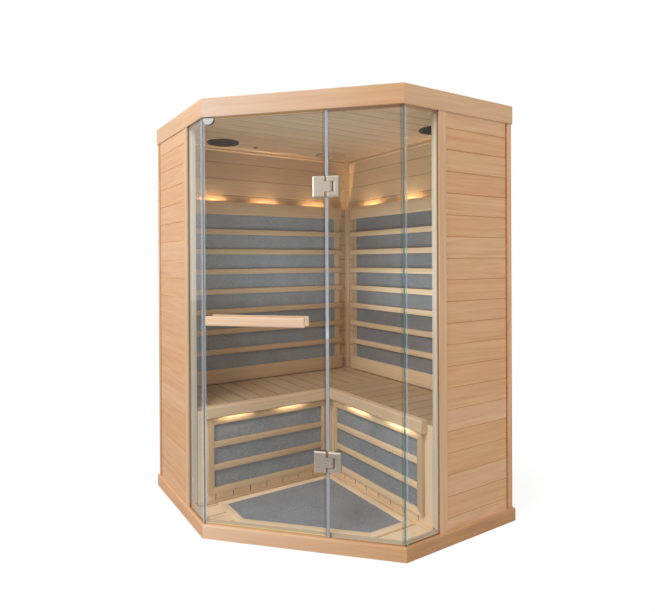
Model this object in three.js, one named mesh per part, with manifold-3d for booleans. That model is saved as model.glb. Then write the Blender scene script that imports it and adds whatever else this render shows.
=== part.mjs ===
// Corner infrared sauna cabin: timber walls, glass front with a hinged door, heated benches and backs.
// Millimetres, +Z up. The origin is on the floor at the middle of the square plan. The room corner is
// at +X +Y, the glass front faces -X -Y, and the left and right halves mirror across the line x = y.

import * as THREE from 'three';
import { mergeVertices } from 'three/addons/utils/BufferGeometryUtils.js';
import Module from 'manifold-3d';

// Plan and heights
const WALL_SPAN = 1290;
const SIDE_DEPTH = 665;
const TOTAL_HEIGHT = 1950;
const PLINTH_HEIGHT = 60;
const FASCIA_HEIGHT = 85;
const CEILING_DROP = 65;
const FLOOR_DROP = 8;

// Clearances
const TURNED_GAP = 0.3;
const FIT_GAP = 0.5;
const GLASS_FIT = 0.4;
const JOIN_OVERLAP = 1;

// Boards
const BOARD_PITCH = 93.5;
const GROOVE_WIDTH = 3;
const GROOVE_DEPTH = 2;
const WALL_JOINT = 114;
const CEILING_JOINT = 12;
const LEFT_BENCH_JOINT = -434;
const RIGHT_BENCH_JOINT = -412;

// Walls, plinth and roof
const PANEL_THICKNESS = 27;
const LINING_THICKNESS = 14;
const LINING_SETBACK = 16;
const POST_WIDTH = 43;
const POST_PROUD = 2;
const PLINTH_PROUD = 10;
const PLINTH_SETBACK = 1;
const PLINTH_ROUND = 8;
const FASCIA_PROUD = 5;
const FASCIA_ROUND = 3;
const CEILING_THICKNESS = 14;
const ROOF_CORE = 14;
const COVER_THICKNESS = 4;

// Glass front
const GLASS_THICKNESS = 8;
const GLASS_SETBACK = 4;
const SIDE_GLASS_WIDTH = 195;
const GLAZING_DEPTH = 10;
const FASCIA_CHANNEL = 15;
const HEAD_CLEARANCE = 5;
const STOP_SETBACK = 18;
const STOP_DROP = 8;
const SILL_RISE = 12;
const CORNER_JOINT = 1;

// Door
const FIXED_SPAN = 315;
const DOOR_HINGE_EDGE = 16;
const DOOR_CORNER_GAP = 4;
const DOOR_SILL_GAP = 6;
const DOOR_HEAD_GAP = 7;
const PANE_EDGE_BACK = 1;
const SEAL_THICKNESS = 6;
const SEAL_DOOR_GAP = 1.5;
const STRIKE_PANE_EDGE = 12;
const STRIKE_GAP = 2.5;
const STRIKE_NOSE = 2;

// Hinges
const HINGE_TOP_INSET = 318;
const HINGE_BOTTOM_INSET = 313;
const HINGE_HEIGHT = 90;
const HINGE_PLATE = 8;
const DOOR_LEAF_WIDTH = 51;
const PANE_LEAF_WIDTH = 58;
const PANE_LEAF_INSET = 9;
const KNUCKLE_HEIGHT = 43;
const KNUCKLE_PLAY = 1;
const NOTCH_DEPTH = 30;
const NOTCH_WALL = 1.7;
const PIN_RADIUS = 4;

// Handle and catch
const HANDLE_EDGE_MARGIN = 25;
const HANDLE_HINGE_MARGIN = 82;
const HANDLE_BAR_HEIGHT = 42;
const HANDLE_BAR_DEPTH = 24;
const HANDLE_REACH = 22;
const HANDLE_LEVEL = 968;
const HANDLE_ROUND = 7;
const STANDOFF_RADIUS = 9;
const STANDOFF_INSET = 33;
const STUD_RADIUS = 4;
const STUD_GRIP = 14;
const CATCH_RADIUS = 25;
const CATCH_MARGIN = 1;
const CATCH_THICKNESS = 4;
const CATCH_BRIDGE = 3;
const MAGNET_WIDTH = 36;
const MAGNET_GAP = 0.6;

// Benches
const BENCH_TOP = 528;
const BENCH_BOARD = 20;
const BENCH_DEPTH = 464;
const RAIL_DEPTH = 45;
const RAIL_HEIGHT = 58;
const RAIL_ROUND = 9;
const RAIL_END_GAP = 34;
const BENCH_FACE_SETBACK = 35;
const BENCH_FACE_BOARD = 14;
const BEARER_DEPTH = 25;
const BEARER_HEIGHT = 40;

// Bench heaters
const HEATER_FRAME_OUTER_GAP = 50;
const HEATER_FRAME_INNER_GAP = 28;
const HEATER_FRAME_FOOT_GAP = 49;
const HEATER_FRAME_HEAD_GAP = 4;
const HEATER_FRAME_DEPTH = 20;
const HEATER_FRAME_MEMBER = 30;
const HEATER_FRAME_SLAT = 28.5;
const HEATER_FRAME_SLATS = 2;
const HEATER_LIP = 8;
const HEATER_PLATE = 9;

// Backrests
const BACK_BOARD = 14;
const BACK_HEIGHT = 1039;
const BACK_OUTER_GAP = 14;
const BACK_INNER_GAP = 40;
const BACK_BENCH_GAP = 5;
const BACK_LOWER_BOARD = 80;
const BACK_UPPER_BOARD = 76;
const BACK_SLAT = 30;
const BACK_SLATS = 7;
const STILE_WIDTH = 40;
const STILE_DEPTH = 18;
const STILE_INSET = 8;
const STILE_HOUSING = 2;
const BACK_HEATER_PLATE = 9;
const LIGHT_BAR_DROP = 20;
const LIGHT_BAR_HEIGHT = 12;
const LIGHT_BAR_DEPTH = 8;
const LIGHT_BAR_INSET = 90;

// Floor heater
const FLOOR_HEATER_BENCH_GAP = 32;
const FLOOR_HEATER_WALL_GAP = 128;
const FLOOR_HEATER_FRONT_GAP = 82.7;
const FLOOR_HEATER_PLATE = 8;
const FLOOR_BORDER_WIDTH = 35;
const FLOOR_BORDER_HEIGHT = 10;

// Ceiling fittings and electrics
const SPEAKER_WALL_GAP = 128;
const SPEAKER_END_GAP = 271;
const SPEAKER_RADIUS = 87.5;
const SPEAKER_FLANGE = 4;
const SPEAKER_BASKET_RADIUS = 74;
const SPEAKER_HEADROOM = 4;
const VENT_WALL_GAPS = [214, 114];
const VENT_RADIUS = 90;
const VENT_THICKNESS = 10;
const VENT_HOLES = 8;
const VENT_HOLE_RADIUS = 11;
const VENT_HOLE_CIRCLE = 58;
const VENT_PIVOT_RADIUS = 8;
const POWER_BOX_WALL_GAP = 354;
const POWER_BOX_LENGTH = 320;
const POWER_BOX_WIDTH = 220;
const POWER_BOX_HEIGHT = 32;
const GLAND_RADIUS = 9;
const GLAND_LENGTH = 22;
const CONTROL_POST_GAP = 52;
const CONTROL_LEVEL = 1300;
const CONTROL_WIDTH = 120;
const CONTROL_HEIGHT = 180;
const CONTROL_DEPTH = 14;
const CONTROL_ROUND = 12;

// Round shapes and meshes
const ROUND_SIDES = 32;
const PIN_SIDES = 20;
const ARC_STEPS = 4;
const WELD_DISTANCE = 1e-4;

// Values worked out from the driving dimensions: the plan and its heights
const HALF = WALL_SPAN / 2;
const FRONT_CORNER = HALF - SIDE_DEPTH;
const FRONT_PLANE = (HALF - FRONT_CORNER) / Math.SQRT2;
const FRONT_HALF = (HALF + FRONT_CORNER) / Math.SQRT2;
const MITRE = Math.tan(Math.PI / 8);
const WALL_TOP = TOTAL_HEIGHT - FASCIA_HEIGHT;
const WALL_THICKNESS = PANEL_THICKNESS + LINING_THICKNESS;
const PANEL_INNER = HALF - PANEL_THICKNESS;
const ROOM = HALF - WALL_THICKNESS;
const POST_FRONT = FRONT_CORNER + SIDE_GLASS_WIDTH;
const POST_BACK = POST_FRONT + POST_WIDTH;
const PLINTH_INNER = PLINTH_SETBACK - WALL_THICKNESS;
const FLOOR_TOP = PLINTH_HEIGHT - FLOOR_DROP;
const CEILING_HEIGHT = TOTAL_HEIGHT - CEILING_DROP;
const CEILING_TOP = CEILING_HEIGHT + CEILING_THICKNESS;
const CORE_TOP = CEILING_TOP + ROOF_CORE;
const COVER_TOP = CORE_TOP + COVER_THICKNESS;

// The glass front and its door
const GLASS_INNER = GLASS_SETBACK + GLASS_THICKNESS;
const GLASS_MIDDLE = GLASS_SETBACK + GLASS_THICKNESS / 2;
const GLASS_CHANNEL = [GLASS_SETBACK - GLASS_FIT, GLASS_INNER + GLASS_FIT];
const STOP_INNER = PANEL_THICKNESS;
const HINGE_U = FRONT_HALF - FIXED_SPAN;
const PANE_EDGE = HINGE_U - PANE_EDGE_BACK;
const PANE_BOTTOM = PLINTH_HEIGHT - GLAZING_DEPTH + TURNED_GAP;
const PANE_TOP = WALL_TOP + FASCIA_CHANNEL - HEAD_CLEARANCE;
const DOOR_EDGE = -DOOR_HINGE_EDGE;
const DOOR_FREE_EDGE = DOOR_CORNER_GAP - FRONT_HALF - HINGE_U;
const DOOR_BOTTOM = PLINTH_HEIGHT + DOOR_SILL_GAP;
const DOOR_TOP = WALL_TOP - DOOR_HEAD_GAP;
const HINGE_LEVELS = { upper: DOOR_TOP - HINGE_TOP_INSET, lower: DOOR_BOTTOM + HINGE_BOTTOM_INSET };
const CATCH_U = HINGE_U + DOOR_FREE_EDGE + CATCH_RADIUS + CATCH_MARGIN;

// Benches, backrests and fittings
const RAIL_FRONT = ROOM - BENCH_DEPTH;
const RAIL_BACK = RAIL_FRONT + RAIL_DEPTH;
const RAIL_END = ROOM - RAIL_END_GAP;
const RAIL_BOTTOM = BENCH_TOP - RAIL_HEIGHT;
const BENCH_UNDERSIDE = BENCH_TOP - BENCH_BOARD;
const BENCH_FACE = RAIL_FRONT + BENCH_FACE_SETBACK;
const BENCH_FACE_BACK = BENCH_FACE + BENCH_FACE_BOARD;
const BACK_BOARD_BACK = ROOM - STILE_DEPTH;
const BACK_FRONT = BACK_BOARD_BACK - BACK_BOARD;
const BACK_BOTTOM = BENCH_TOP + BACK_BENCH_GAP;
const BACK_TOP = BACK_BOTTOM + BACK_HEIGHT;
const SPEAKER_PLACE = [ROOM - SPEAKER_WALL_GAP, SPEAKER_END_GAP - ROOM];
const VENT_PLACE = VENT_WALL_GAPS.map((gap) => ROOM - gap);
const POWER_BOX_MIDDLE = ROOM - POWER_BOX_WALL_GAP;
const CONTROL_SIDE = POST_BACK + CONTROL_POST_GAP;

// Materials
const paint = (color, roughness, metalness = 0, extra = {}) =>
  () => new THREE.MeshStandardMaterial({ color, roughness, metalness, ...extra });
const outerWood = paint(0xdcae86, 0.6);
const innerWood = paint(0xb9946c, 0.6);
const heaterFelt = paint(0x74726f, 0.95);
const clearGlass = paint(0xd6e2e0, 0.05, 0, { transparent: true, opacity: 0.25 });
const clearSeal = paint(0xd9dcdf, 0.35);
const satinNickel = paint(0xb9b0a3, 0.35, 1);
const paleGreyPlastic = paint(0xd0d0ce, 0.4);
const darkPlastic = paint(0x3b3733, 0.6);
const paintedSteel = paint(0xb4b7ba, 0.5, 0.6);
const warmLight = paint(0xffd9a0, 0.4);

// Solids
const wasm = await Module();
wasm.setup();

function solidOf(geometry) {
  geometry.deleteAttribute('normal');
  geometry.deleteAttribute('uv');
  const merged = mergeVertices(geometry, WELD_DISTANCE);
  return new wasm.Manifold(new wasm.Mesh({
    numProp: 3,
    vertProperties: new Float32Array(merged.getAttribute('position').array),
    triVerts: new Uint32Array(merged.getIndex().array),
  }));
}

function geometryOf(solid) {
  const mesh = solid.getMesh();
  const geometry = new THREE.BufferGeometry();
  geometry.setAttribute('position', new THREE.BufferAttribute(mesh.vertProperties, 3));
  geometry.setIndex(new THREE.BufferAttribute(mesh.triVerts, 1));
  return geometry;
}

const unite = (solids) => solids.reduce((whole, solid) => whole.add(solid));
const cut = (body, tools) => tools.reduce((rest, tool) => rest.subtract(tool), body);

function box(x0, x1, y0, y1, z0, z1) {
  const geometry = new THREE.BoxGeometry(x1 - x0, y1 - y0, z1 - z0);
  return solidOf(geometry.translate((x0 + x1) / 2, (y0 + y1) / 2, (z0 + z1) / 2));
}

function pillar(x, y, radius, z0, z1, sides = ROUND_SIDES) {
  const geometry = new THREE.CylinderGeometry(radius, radius, z1 - z0, sides);
  return solidOf(geometry.rotateX(Math.PI / 2).translate(x, y, (z0 + z1) / 2));
}

// A bar with a round section that runs along Y
function rod(x, z, radius, y0, y1, sides = PIN_SIDES) {
  const geometry = new THREE.CylinderGeometry(radius, radius, y1 - y0, sides);
  return solidOf(geometry.translate(x, (y0 + y1) / 2, z));
}

// An outline pulled along one axis. The outline is given in the two axes that follow it in x, y, z order.
const AXIS_TURNS = {
  x: new THREE.Matrix4().makeBasis(
    new THREE.Vector3(0, 1, 0), new THREE.Vector3(0, 0, 1), new THREE.Vector3(1, 0, 0)),
  y: new THREE.Matrix4().makeBasis(
    new THREE.Vector3(0, 0, 1), new THREE.Vector3(1, 0, 0), new THREE.Vector3(0, 1, 0)),
  z: new THREE.Matrix4(),
};

function pull(axis, outline, from, to) {
  const shape = new THREE.Shape(outline.map(([a, b]) => new THREE.Vector2(a, b)));
  const geometry = new THREE.ExtrudeGeometry(shape, { depth: to - from, bevelEnabled: false });
  return solidOf(geometry.translate(0, 0, from).applyMatrix4(AXIS_TURNS[axis]));
}

// Layers of outlines with equal point counts, joined into one closed body from the bottom up
function stack(layers) {
  const count = layers[0].outline.length;
  const positions = layers.flatMap(({ outline, z }) => outline.flatMap(([x, y]) => [x, y, z]));
  const contour = layers[0].outline.map(([x, y]) => new THREE.Vector2(x, y));
  const cap = THREE.ShapeUtils.triangulateShape(contour, []);
  const top = (layers.length - 1) * count;
  const faces = cap.flatMap(([a, b, c]) => [c, b, a, top + a, top + b, top + c]);
  for (let layer = 0; layer < layers.length - 1; layer += 1) {
    for (let i = 0; i < count; i += 1) {
      const a = layer * count + i;
      const b = layer * count + (i + 1) % count;
      faces.push(a, b, b + count, a, b + count, a + count);
    }
  }
  const geometry = new THREE.BufferGeometry();
  geometry.setAttribute('position', new THREE.Float32BufferAttribute(positions, 3));
  geometry.setIndex(faces);
  return solidOf(geometry);
}

// A rectangle with V grooves on one side, as a row of boards shows at its joints
function boards([a0, a1], [b0, b1], side, marks) {
  const half = GROOVE_WIDTH / 2;
  const notch = {
    a0: (m) => [[a0, m + half], [a0 + GROOVE_DEPTH, m], [a0, m - half]],
    a1: (m) => [[a1, m - half], [a1 - GROOVE_DEPTH, m], [a1, m + half]],
    b0: (m) => [[m - half, b0], [m, b0 + GROOVE_DEPTH], [m + half, b0]],
    b1: (m) => [[m + half, b1], [m, b1 - GROOVE_DEPTH], [m - half, b1]],
  }[side];
  const cuts = (name, rising) => {
    if (name !== side) return [];
    return (rising ? marks : [...marks].reverse()).flatMap(notch);
  };
  return [
    [a0, b0], ...cuts('b0', true), [a1, b0], ...cuts('a1', true),
    [a1, b1], ...cuts('b1', false), [a0, b1], ...cuts('a0', false),
  ];
}

// Joint lines between two ends, one board apart, that stay clear of both ends
function jointMarks(from, to, start = from) {
  const first = Math.floor((from - start) / BOARD_PITCH);
  const last = Math.ceil((to - start) / BOARD_PITCH);
  const lines = Array.from({ length: last - first + 1 }, (_, i) => start + (first + i) * BOARD_PITCH);
  return lines.filter((line) => line > from + GROOVE_WIDTH && line < to - GROOVE_WIDTH);
}

function roundedOutline([a0, a1], [b0, b1], radius) {
  const corners = [[a0, b0, 1, 1, 180], [a1, b0, -1, 1, 270], [a1, b1, -1, -1, 0], [a0, b1, 1, -1, 90]];
  return corners.flatMap(([a, b, da, db, start]) =>
    Array.from({ length: ARC_STEPS + 1 }, (_, i) => {
      const angle = THREE.MathUtils.degToRad(start + (90 * i) / ARC_STEPS);
      return [a + radius * (da + Math.cos(angle)), b + radius * (db + Math.sin(angle))];
    }));
}

// The five corners of the plan, moved outwards by a distance
function planCorners(out) {
  const far = HALF + out;
  const near = FRONT_CORNER - out * MITRE;
  return { B: [far, far], L: [-far, far], LF: [-far, near], RF: [near, -far], R: [far, -far] };
}

const planOutline = (out) => Object.values(planCorners(out));

// The strip of plan between two distances from the wall plane along one side, mitred at both ends
function strip(from, to, outer, inner) {
  const a = planCorners(outer);
  const b = planCorners(inner);
  return [a[from], a[to], b[to], b[from]];
}

// A board along one side of the plan, with its outer edges eased at the top and, where asked, below
function edgeBoard(outline, z0, z1, radius, easedBelow) {
  const steps = Array.from({ length: ARC_STEPS }, (_, i) => ((i + 1) / ARC_STEPS) * (Math.PI / 2));
  const above = steps.map((t) => [radius * (1 - Math.cos(t)), z1 - radius + radius * Math.sin(t)]);
  const below = steps.map((t) => [radius * (1 - Math.cos(t)), z0 + radius - radius * Math.sin(t)]);
  const start = easedBelow ? [...below.reverse(), [0, z0 + radius]] : [[0, z0]];
  const levels = [...start, [0, z1 - radius], ...above];
  return stack(levels.map(([inset, z]) => ({ outline: outline(inset), z })));
}

// A block given along the front, inwards from its wall plane, and upwards
function frontBlock([u0, u1], [in0, in1], [z0, z1]) {
  const point = (u, inwards) => {
    const out = FRONT_PLANE - inwards;
    return [(u - out) / Math.SQRT2, (-u - out) / Math.SQRT2];
  };
  return pull('z', [point(u0, in0), point(u1, in0), point(u1, in1), point(u0, in1)], z0, z1);
}

// The mirror image across x = y, for the other half of the cabin
function otherHalf(solid) {
  const mesh = solid.getMesh();
  const positions = mesh.vertProperties.slice();
  const faces = mesh.triVerts.slice();
  for (let i = 0; i < positions.length; i += 3) {
    [positions[i], positions[i + 1]] = [positions[i + 1], positions[i]];
  }
  for (let i = 0; i < faces.length; i += 3) {
    [faces[i], faces[i + 1]] = [faces[i + 1], faces[i]];
  }
  return new wasm.Manifold(new wasm.Mesh({ numProp: 3, vertProperties: positions, triVerts: faces }));
}

// Groups: the glass front is turned to face the room, and the door hangs on its hinge line
const cabin = new THREE.Group();
const front = new THREE.Group();
front.position.set(-FRONT_PLANE / Math.SQRT2, -FRONT_PLANE / Math.SQRT2, 0);
front.rotation.z = -Math.PI / 4;
cabin.add(front);
const door = new THREE.Group();
door.position.set(HINGE_U, GLASS_MIDDLE, 0);
front.add(door);

function put(parent, name, solid, material) {
  const mesh = new THREE.Mesh(geometryOf(solid), material());
  mesh.name = name;
  parent.add(mesh);
}

function putBothHalves(name, rightSolid, material) {
  put(cabin, `right_${name}`, rightSolid, material);
  put(cabin, `left_${name}`, otherHalf(rightSolid), material);
}

// Base: a boarded floor panel with rear sole plates, and three plinth boards round the front
function floorPanel() {
  const inside = HALF + PLINTH_INNER;
  const marks = jointMarks(-inside, inside, -inside);
  const slab = pull('x', boards([-inside, inside], [0, FLOOR_TOP], 'b1', marks), -inside, inside);
  const trimmed = slab.intersect(pull('z', planOutline(PLINTH_INNER - FIT_GAP), 0, FLOOR_TOP));
  const soles = [['B', 'L'], ['R', 'B']].map(([from, to]) =>
    pull('z', strip(from, to, PLINTH_PROUD, PLINTH_INNER - JOIN_OVERLAP), 0, PLINTH_HEIGHT));
  return unite([trimmed, ...soles]);
}

function plinthBoard(from, to) {
  const outline = (inset) => strip(from, to, PLINTH_PROUD - inset, PLINTH_INNER);
  return edgeBoard(outline, 0, PLINTH_HEIGHT, PLINTH_ROUND, false);
}

// The channel that a side pane stands in, from past the front corner into the glazing post
function sideChannel(z0, z1) {
  const [outer, inner] = GLASS_CHANNEL.map((inwards) => inwards - HALF);
  return box(FRONT_CORNER - SIDE_DEPTH, POST_FRONT + GLAZING_DEPTH + FIT_GAP, outer, inner, z0, z1);
}

function sidePlinth() {
  const channel = sideChannel(PLINTH_HEIGHT - GLAZING_DEPTH, PLINTH_HEIGHT + PLINTH_ROUND);
  const corner = planCorners(-STOP_SETBACK).RF;
  const inner = planCorners(-STOP_INNER).RF;
  const sill = pull('z', [corner, [POST_FRONT, corner[1]], [POST_FRONT, inner[1]], inner],
    PLINTH_HEIGHT - JOIN_OVERLAP, PLINTH_HEIGHT + SILL_RISE);
  return cut(plinthBoard('RF', 'R'), [channel]).add(sill);
}

function frontPlinth() {
  const channel = frontBlock([PANE_EDGE, WALL_SPAN], GLASS_CHANNEL,
    [PLINTH_HEIGHT - GLAZING_DEPTH, PLINTH_HEIGHT + PLINTH_ROUND]);
  const sill = pull('z', strip('LF', 'RF', -STOP_SETBACK, -STOP_INNER),
    PLINTH_HEIGHT - JOIN_OVERLAP, PLINTH_HEIGHT + SILL_RISE);
  return cut(plinthBoard('LF', 'RF'), [channel]).add(sill);
}

put(cabin, 'floor_panel', floorPanel(), innerWood);
put(cabin, 'front_plinth', frontPlinth(), outerWood);
putBothHalves('plinth', sidePlinth(), outerWood);

// Floor heater: a grey plate in a mitred border
function heaterOutline(out) {
  const side = ROOM - FLOOR_HEATER_WALL_GAP + out;
  const back = RAIL_FRONT - FLOOR_HEATER_BENCH_GAP + out;
  const corner = (FRONT_PLANE - FLOOR_HEATER_FRONT_GAP + out) * Math.SQRT2 - side;
  return [[back, back], [-side, back], [-side, -corner], [-corner, -side], [back, -side]];
}

const floorHeater = pull('z', heaterOutline(0), FLOOR_TOP, FLOOR_TOP + FLOOR_HEATER_PLATE);
const floorBorder = cut(
  pull('z', heaterOutline(FLOOR_BORDER_WIDTH), FLOOR_TOP, FLOOR_TOP + FLOOR_BORDER_HEIGHT),
  [pull('z', heaterOutline(FIT_GAP), 0, TOTAL_HEIGHT)]);
put(cabin, 'floor_heater', floorHeater, heaterFelt);
put(cabin, 'floor_heater_border', floorBorder, innerWood);

// Walls: boarded panels outside, a board lining inside, and a glazing post at the front edge
const wallMarks = jointMarks(PLINTH_HEIGHT, WALL_TOP, WALL_JOINT);
const liningMarks = jointMarks(PLINTH_HEIGHT, CEILING_HEIGHT, WALL_JOINT);

function outerPanel(from, to) {
  return pull('x', boards([-HALF, -PANEL_INNER], [PLINTH_HEIGHT, WALL_TOP], 'a0', wallMarks), from, to);
}

function innerLining(from, to) {
  const outline = boards([-PANEL_INNER, -ROOM], [PLINTH_HEIGHT, CEILING_HEIGHT], 'a1', liningMarks);
  return pull('x', outline, from, to);
}

// A back wall lies on the far side, so its boards are turned half round
function backPanel(from, to) {
  return pull('x', boards([PANEL_INNER, HALF], [PLINTH_HEIGHT, WALL_TOP], 'a1', wallMarks), from, to);
}

function backLining(from, to, bearerFrom, bearerTo) {
  const outline = boards([ROOM, PANEL_INNER], [PLINTH_HEIGHT, CEILING_HEIGHT], 'a0', liningMarks);
  const bearer = box(bearerFrom, bearerTo, ROOM - BEARER_DEPTH, ROOM + GROOVE_DEPTH + JOIN_OVERLAP,
    BENCH_UNDERSIDE - BEARER_HEIGHT, BENCH_UNDERSIDE);
  const underFascia = box(-HALF - LINING_THICKNESS, -PANEL_INNER + FIT_GAP, 0, HALF + LINING_THICKNESS,
    WALL_TOP, TOTAL_HEIGHT);
  return cut(pull('x', outline, from, to), [underFascia]).add(bearer);
}

function glazingPost() {
  const outer = -HALF - POST_PROUD;
  const outline = [[outer, PLINTH_HEIGHT], [-ROOM, PLINTH_HEIGHT], [-ROOM, CEILING_HEIGHT],
    [-PANEL_INNER, CEILING_HEIGHT], [-PANEL_INNER, WALL_TOP], [outer, WALL_TOP]];
  return cut(pull('x', outline, POST_FRONT, POST_BACK), [sideChannel(0, TOTAL_HEIGHT)]);
}

putBothHalves('wall_panel', outerPanel(POST_BACK, ROOM), outerWood);
putBothHalves('wall_lining', innerLining(POST_BACK, ROOM), innerWood);
putBothHalves('glazing_post', glazingPost(), outerWood);
put(cabin, 'back_left_wall_panel', backPanel(-HALF, PANEL_INNER), outerWood);
put(cabin, 'back_right_wall_panel', otherHalf(backPanel(-HALF, HALF)), outerWood);
const leftLining = backLining(LINING_SETBACK - HALF, ROOM, FIT_GAP - ROOM, ROOM - FIT_GAP);
const rightLining = backLining(LINING_SETBACK - HALF, PANEL_INNER, FIT_GAP - ROOM, RAIL_BACK - FIT_GAP);
put(cabin, 'back_left_wall_lining', leftLining, innerWood);
put(cabin, 'back_right_wall_lining', otherHalf(rightLining), innerWood);

// Roof: fascia boards with a door stop, a core with rear rails, the ceiling boards and a dust cover
function frontFascia() {
  const outline = (inset) => strip('LF', 'RF', FASCIA_PROUD - inset, -STOP_INNER);
  const stop = pull('z', strip('LF', 'RF', -STOP_SETBACK, -STOP_INNER),
    WALL_TOP - STOP_DROP, WALL_TOP + FASCIA_ROUND + JOIN_OVERLAP);
  const channel = frontBlock([PANE_EDGE, WALL_SPAN], GLASS_CHANNEL, [0, WALL_TOP + FASCIA_CHANNEL]);
  const pocketHalf = MAGNET_WIDTH / 2 + FIT_GAP;
  const pocket = frontBlock([CATCH_U - pocketHalf, CATCH_U + pocketHalf],
    [GLASS_INNER, STOP_INNER + FIT_GAP], [0, WALL_TOP]);
  const board = edgeBoard(outline, WALL_TOP, TOTAL_HEIGHT, FASCIA_ROUND, true);
  return cut(board.add(stop), [channel, pocket]);
}

function sideFascia() {
  const outline = (inset) => {
    const outer = planCorners(FASCIA_PROUD - inset);
    const inner = planCorners(-STOP_INNER);
    const end = HALF + FASCIA_PROUD;
    return [outer.RF, [end, outer.R[1]], [end, inner.R[1]], inner.RF];
  };
  const corner = planCorners(-STOP_SETBACK).RF;
  const inner = planCorners(-STOP_INNER).RF;
  const stop = pull('z', [corner, [POST_FRONT, corner[1]], [POST_FRONT, inner[1]], inner],
    WALL_TOP - STOP_DROP, WALL_TOP + FASCIA_ROUND + JOIN_OVERLAP);
  const channel = sideChannel(0, WALL_TOP + FASCIA_CHANNEL);
  return cut(edgeBoard(outline, WALL_TOP, TOTAL_HEIGHT, FASCIA_ROUND, true).add(stop), [channel]);
}

function ventPorts(z0, z1) {
  return Array.from({ length: VENT_HOLES }, (_, i) => {
    const angle = (i / VENT_HOLES) * 2 * Math.PI;
    return pillar(VENT_PLACE[0] + VENT_HOLE_CIRCLE * Math.cos(angle),
      VENT_PLACE[1] + VENT_HOLE_CIRCLE * Math.sin(angle), VENT_HOLE_RADIUS, z0, z1, PIN_SIDES);
  });
}

function speakerHoles(z0, z1) {
  const [x, y] = SPEAKER_PLACE;
  const radius = SPEAKER_BASKET_RADIUS + FIT_GAP;
  return [pillar(x, y, radius, z0, z1), pillar(y, x, radius, z0, z1)];
}

function ceilingBoards() {
  const reach = HALF - STOP_INNER;
  const marks = jointMarks(-reach, reach, CEILING_JOINT);
  const outline = boards([-reach, reach], [CEILING_HEIGHT, CEILING_TOP], 'b0', marks);
  const sheet = pull('x', outline, -reach, reach);
  const trimmed = sheet.intersect(pull('z', planOutline(-STOP_INNER - FIT_GAP), 0, TOTAL_HEIGHT));
  const pivot = pillar(...VENT_PLACE, VENT_PIVOT_RADIUS, 0, CEILING_TOP - GROOVE_DEPTH, PIN_SIDES);
  return cut(trimmed, [...ventPorts(0, TOTAL_HEIGHT), ...speakerHoles(0, TOTAL_HEIGHT), pivot]);
}

function roofPanel() {
  const edge = planCorners(-STOP_INNER - FIT_GAP);
  const back = HALF - STOP_INNER + JOIN_OVERLAP;
  const core = pull('z', [[back, back], [edge.L[0], back], edge.LF, edge.RF, [back, edge.R[1]]],
    CEILING_TOP, CORE_TOP);
  const outside = HALF + FASCIA_PROUD;
  const leftRail = box(edge.L[0], outside, HALF - STOP_INNER, outside, WALL_TOP, TOTAL_HEIGHT);
  const ports = [...ventPorts(0, TOTAL_HEIGHT), ...speakerHoles(0, TOTAL_HEIGHT)];
  return cut(core, ports).add(leftRail).add(otherHalf(leftRail));
}

function roofCover() {
  const sheet = pull('z', planOutline(-STOP_INNER - 2 * FIT_GAP), CORE_TOP, COVER_TOP);
  return cut(sheet, ventPorts(0, TOTAL_HEIGHT));
}

put(cabin, 'front_fascia', frontFascia(), outerWood);
putBothHalves('fascia', sideFascia(), outerWood);
put(cabin, 'ceiling_boards', ceilingBoards(), innerWood);
put(cabin, 'roof_panel', roofPanel(), outerWood);
put(cabin, 'roof_cover', roofCover(), outerWood);

// Glass: side panes and the fixed front pane stand in channels, the door pane hangs on its hinges
function sideGlass(frontEdge) {
  const outer = -HALF + GLASS_SETBACK;
  const inner = -HALF + GLASS_INNER;
  const back = POST_FRONT + GLAZING_DEPTH;
  return pull('z', [[frontEdge.outer, outer], [back, outer], [back, inner], [frontEdge.inner, inner]],
    PANE_BOTTOM, PANE_TOP);
}

const mitredEdge = {
  outer: planCorners(-GLASS_SETBACK).RF[0] + CORNER_JOINT,
  inner: planCorners(-GLASS_INNER).RF[0] + CORNER_JOINT,
};
const squareEdge = { outer: FRONT_CORNER + STRIKE_PANE_EDGE, inner: FRONT_CORNER + STRIKE_PANE_EDGE };
put(cabin, 'right_side_glass', sideGlass(mitredEdge), clearGlass);
put(cabin, 'left_side_glass', otherHalf(sideGlass(squareEdge)), clearGlass);

// In the front group X runs along the front and Y runs inwards from the wall plane
function fixedPane() {
  const alongFront = ([x, y]) => (x - y) / Math.SQRT2;
  const outerEnd = alongFront(planCorners(-GLASS_SETBACK).RF) - CORNER_JOINT;
  const innerEnd = alongFront(planCorners(-GLASS_INNER).RF) - CORNER_JOINT;
  const outline = [[PANE_EDGE, GLASS_SETBACK], [outerEnd, GLASS_SETBACK],
    [innerEnd, GLASS_INNER], [PANE_EDGE, GLASS_INNER]];
  const pocketDepth = NOTCH_DEPTH - PANE_LEAF_INSET + NOTCH_WALL + TURNED_GAP;
  const pockets = Object.values(HINGE_LEVELS).map((level) =>
    box(PANE_EDGE - JOIN_OVERLAP, HINGE_U + pocketDepth, 0, GLASS_INNER + GLASS_SETBACK,
      level - HINGE_HEIGHT / 2 - TURNED_GAP, level + HINGE_HEIGHT / 2 + TURNED_GAP));
  return cut(pull('z', outline, PANE_BOTTOM, PANE_TOP), pockets);
}

put(front, 'front_fixed_glass', fixedPane(), clearGlass);

// In the door group the origin is on the hinge line, in the middle of the glass
const HANDLE_FROM = DOOR_FREE_EDGE + HANDLE_EDGE_MARGIN;
const HANDLE_TO = DOOR_EDGE - HANDLE_HINGE_MARGIN;
const STANDOFFS = [HANDLE_FROM + STANDOFF_INSET, HANDLE_TO - STANDOFF_INSET];
const GLASS_FACE = GLASS_THICKNESS / 2;

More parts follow.
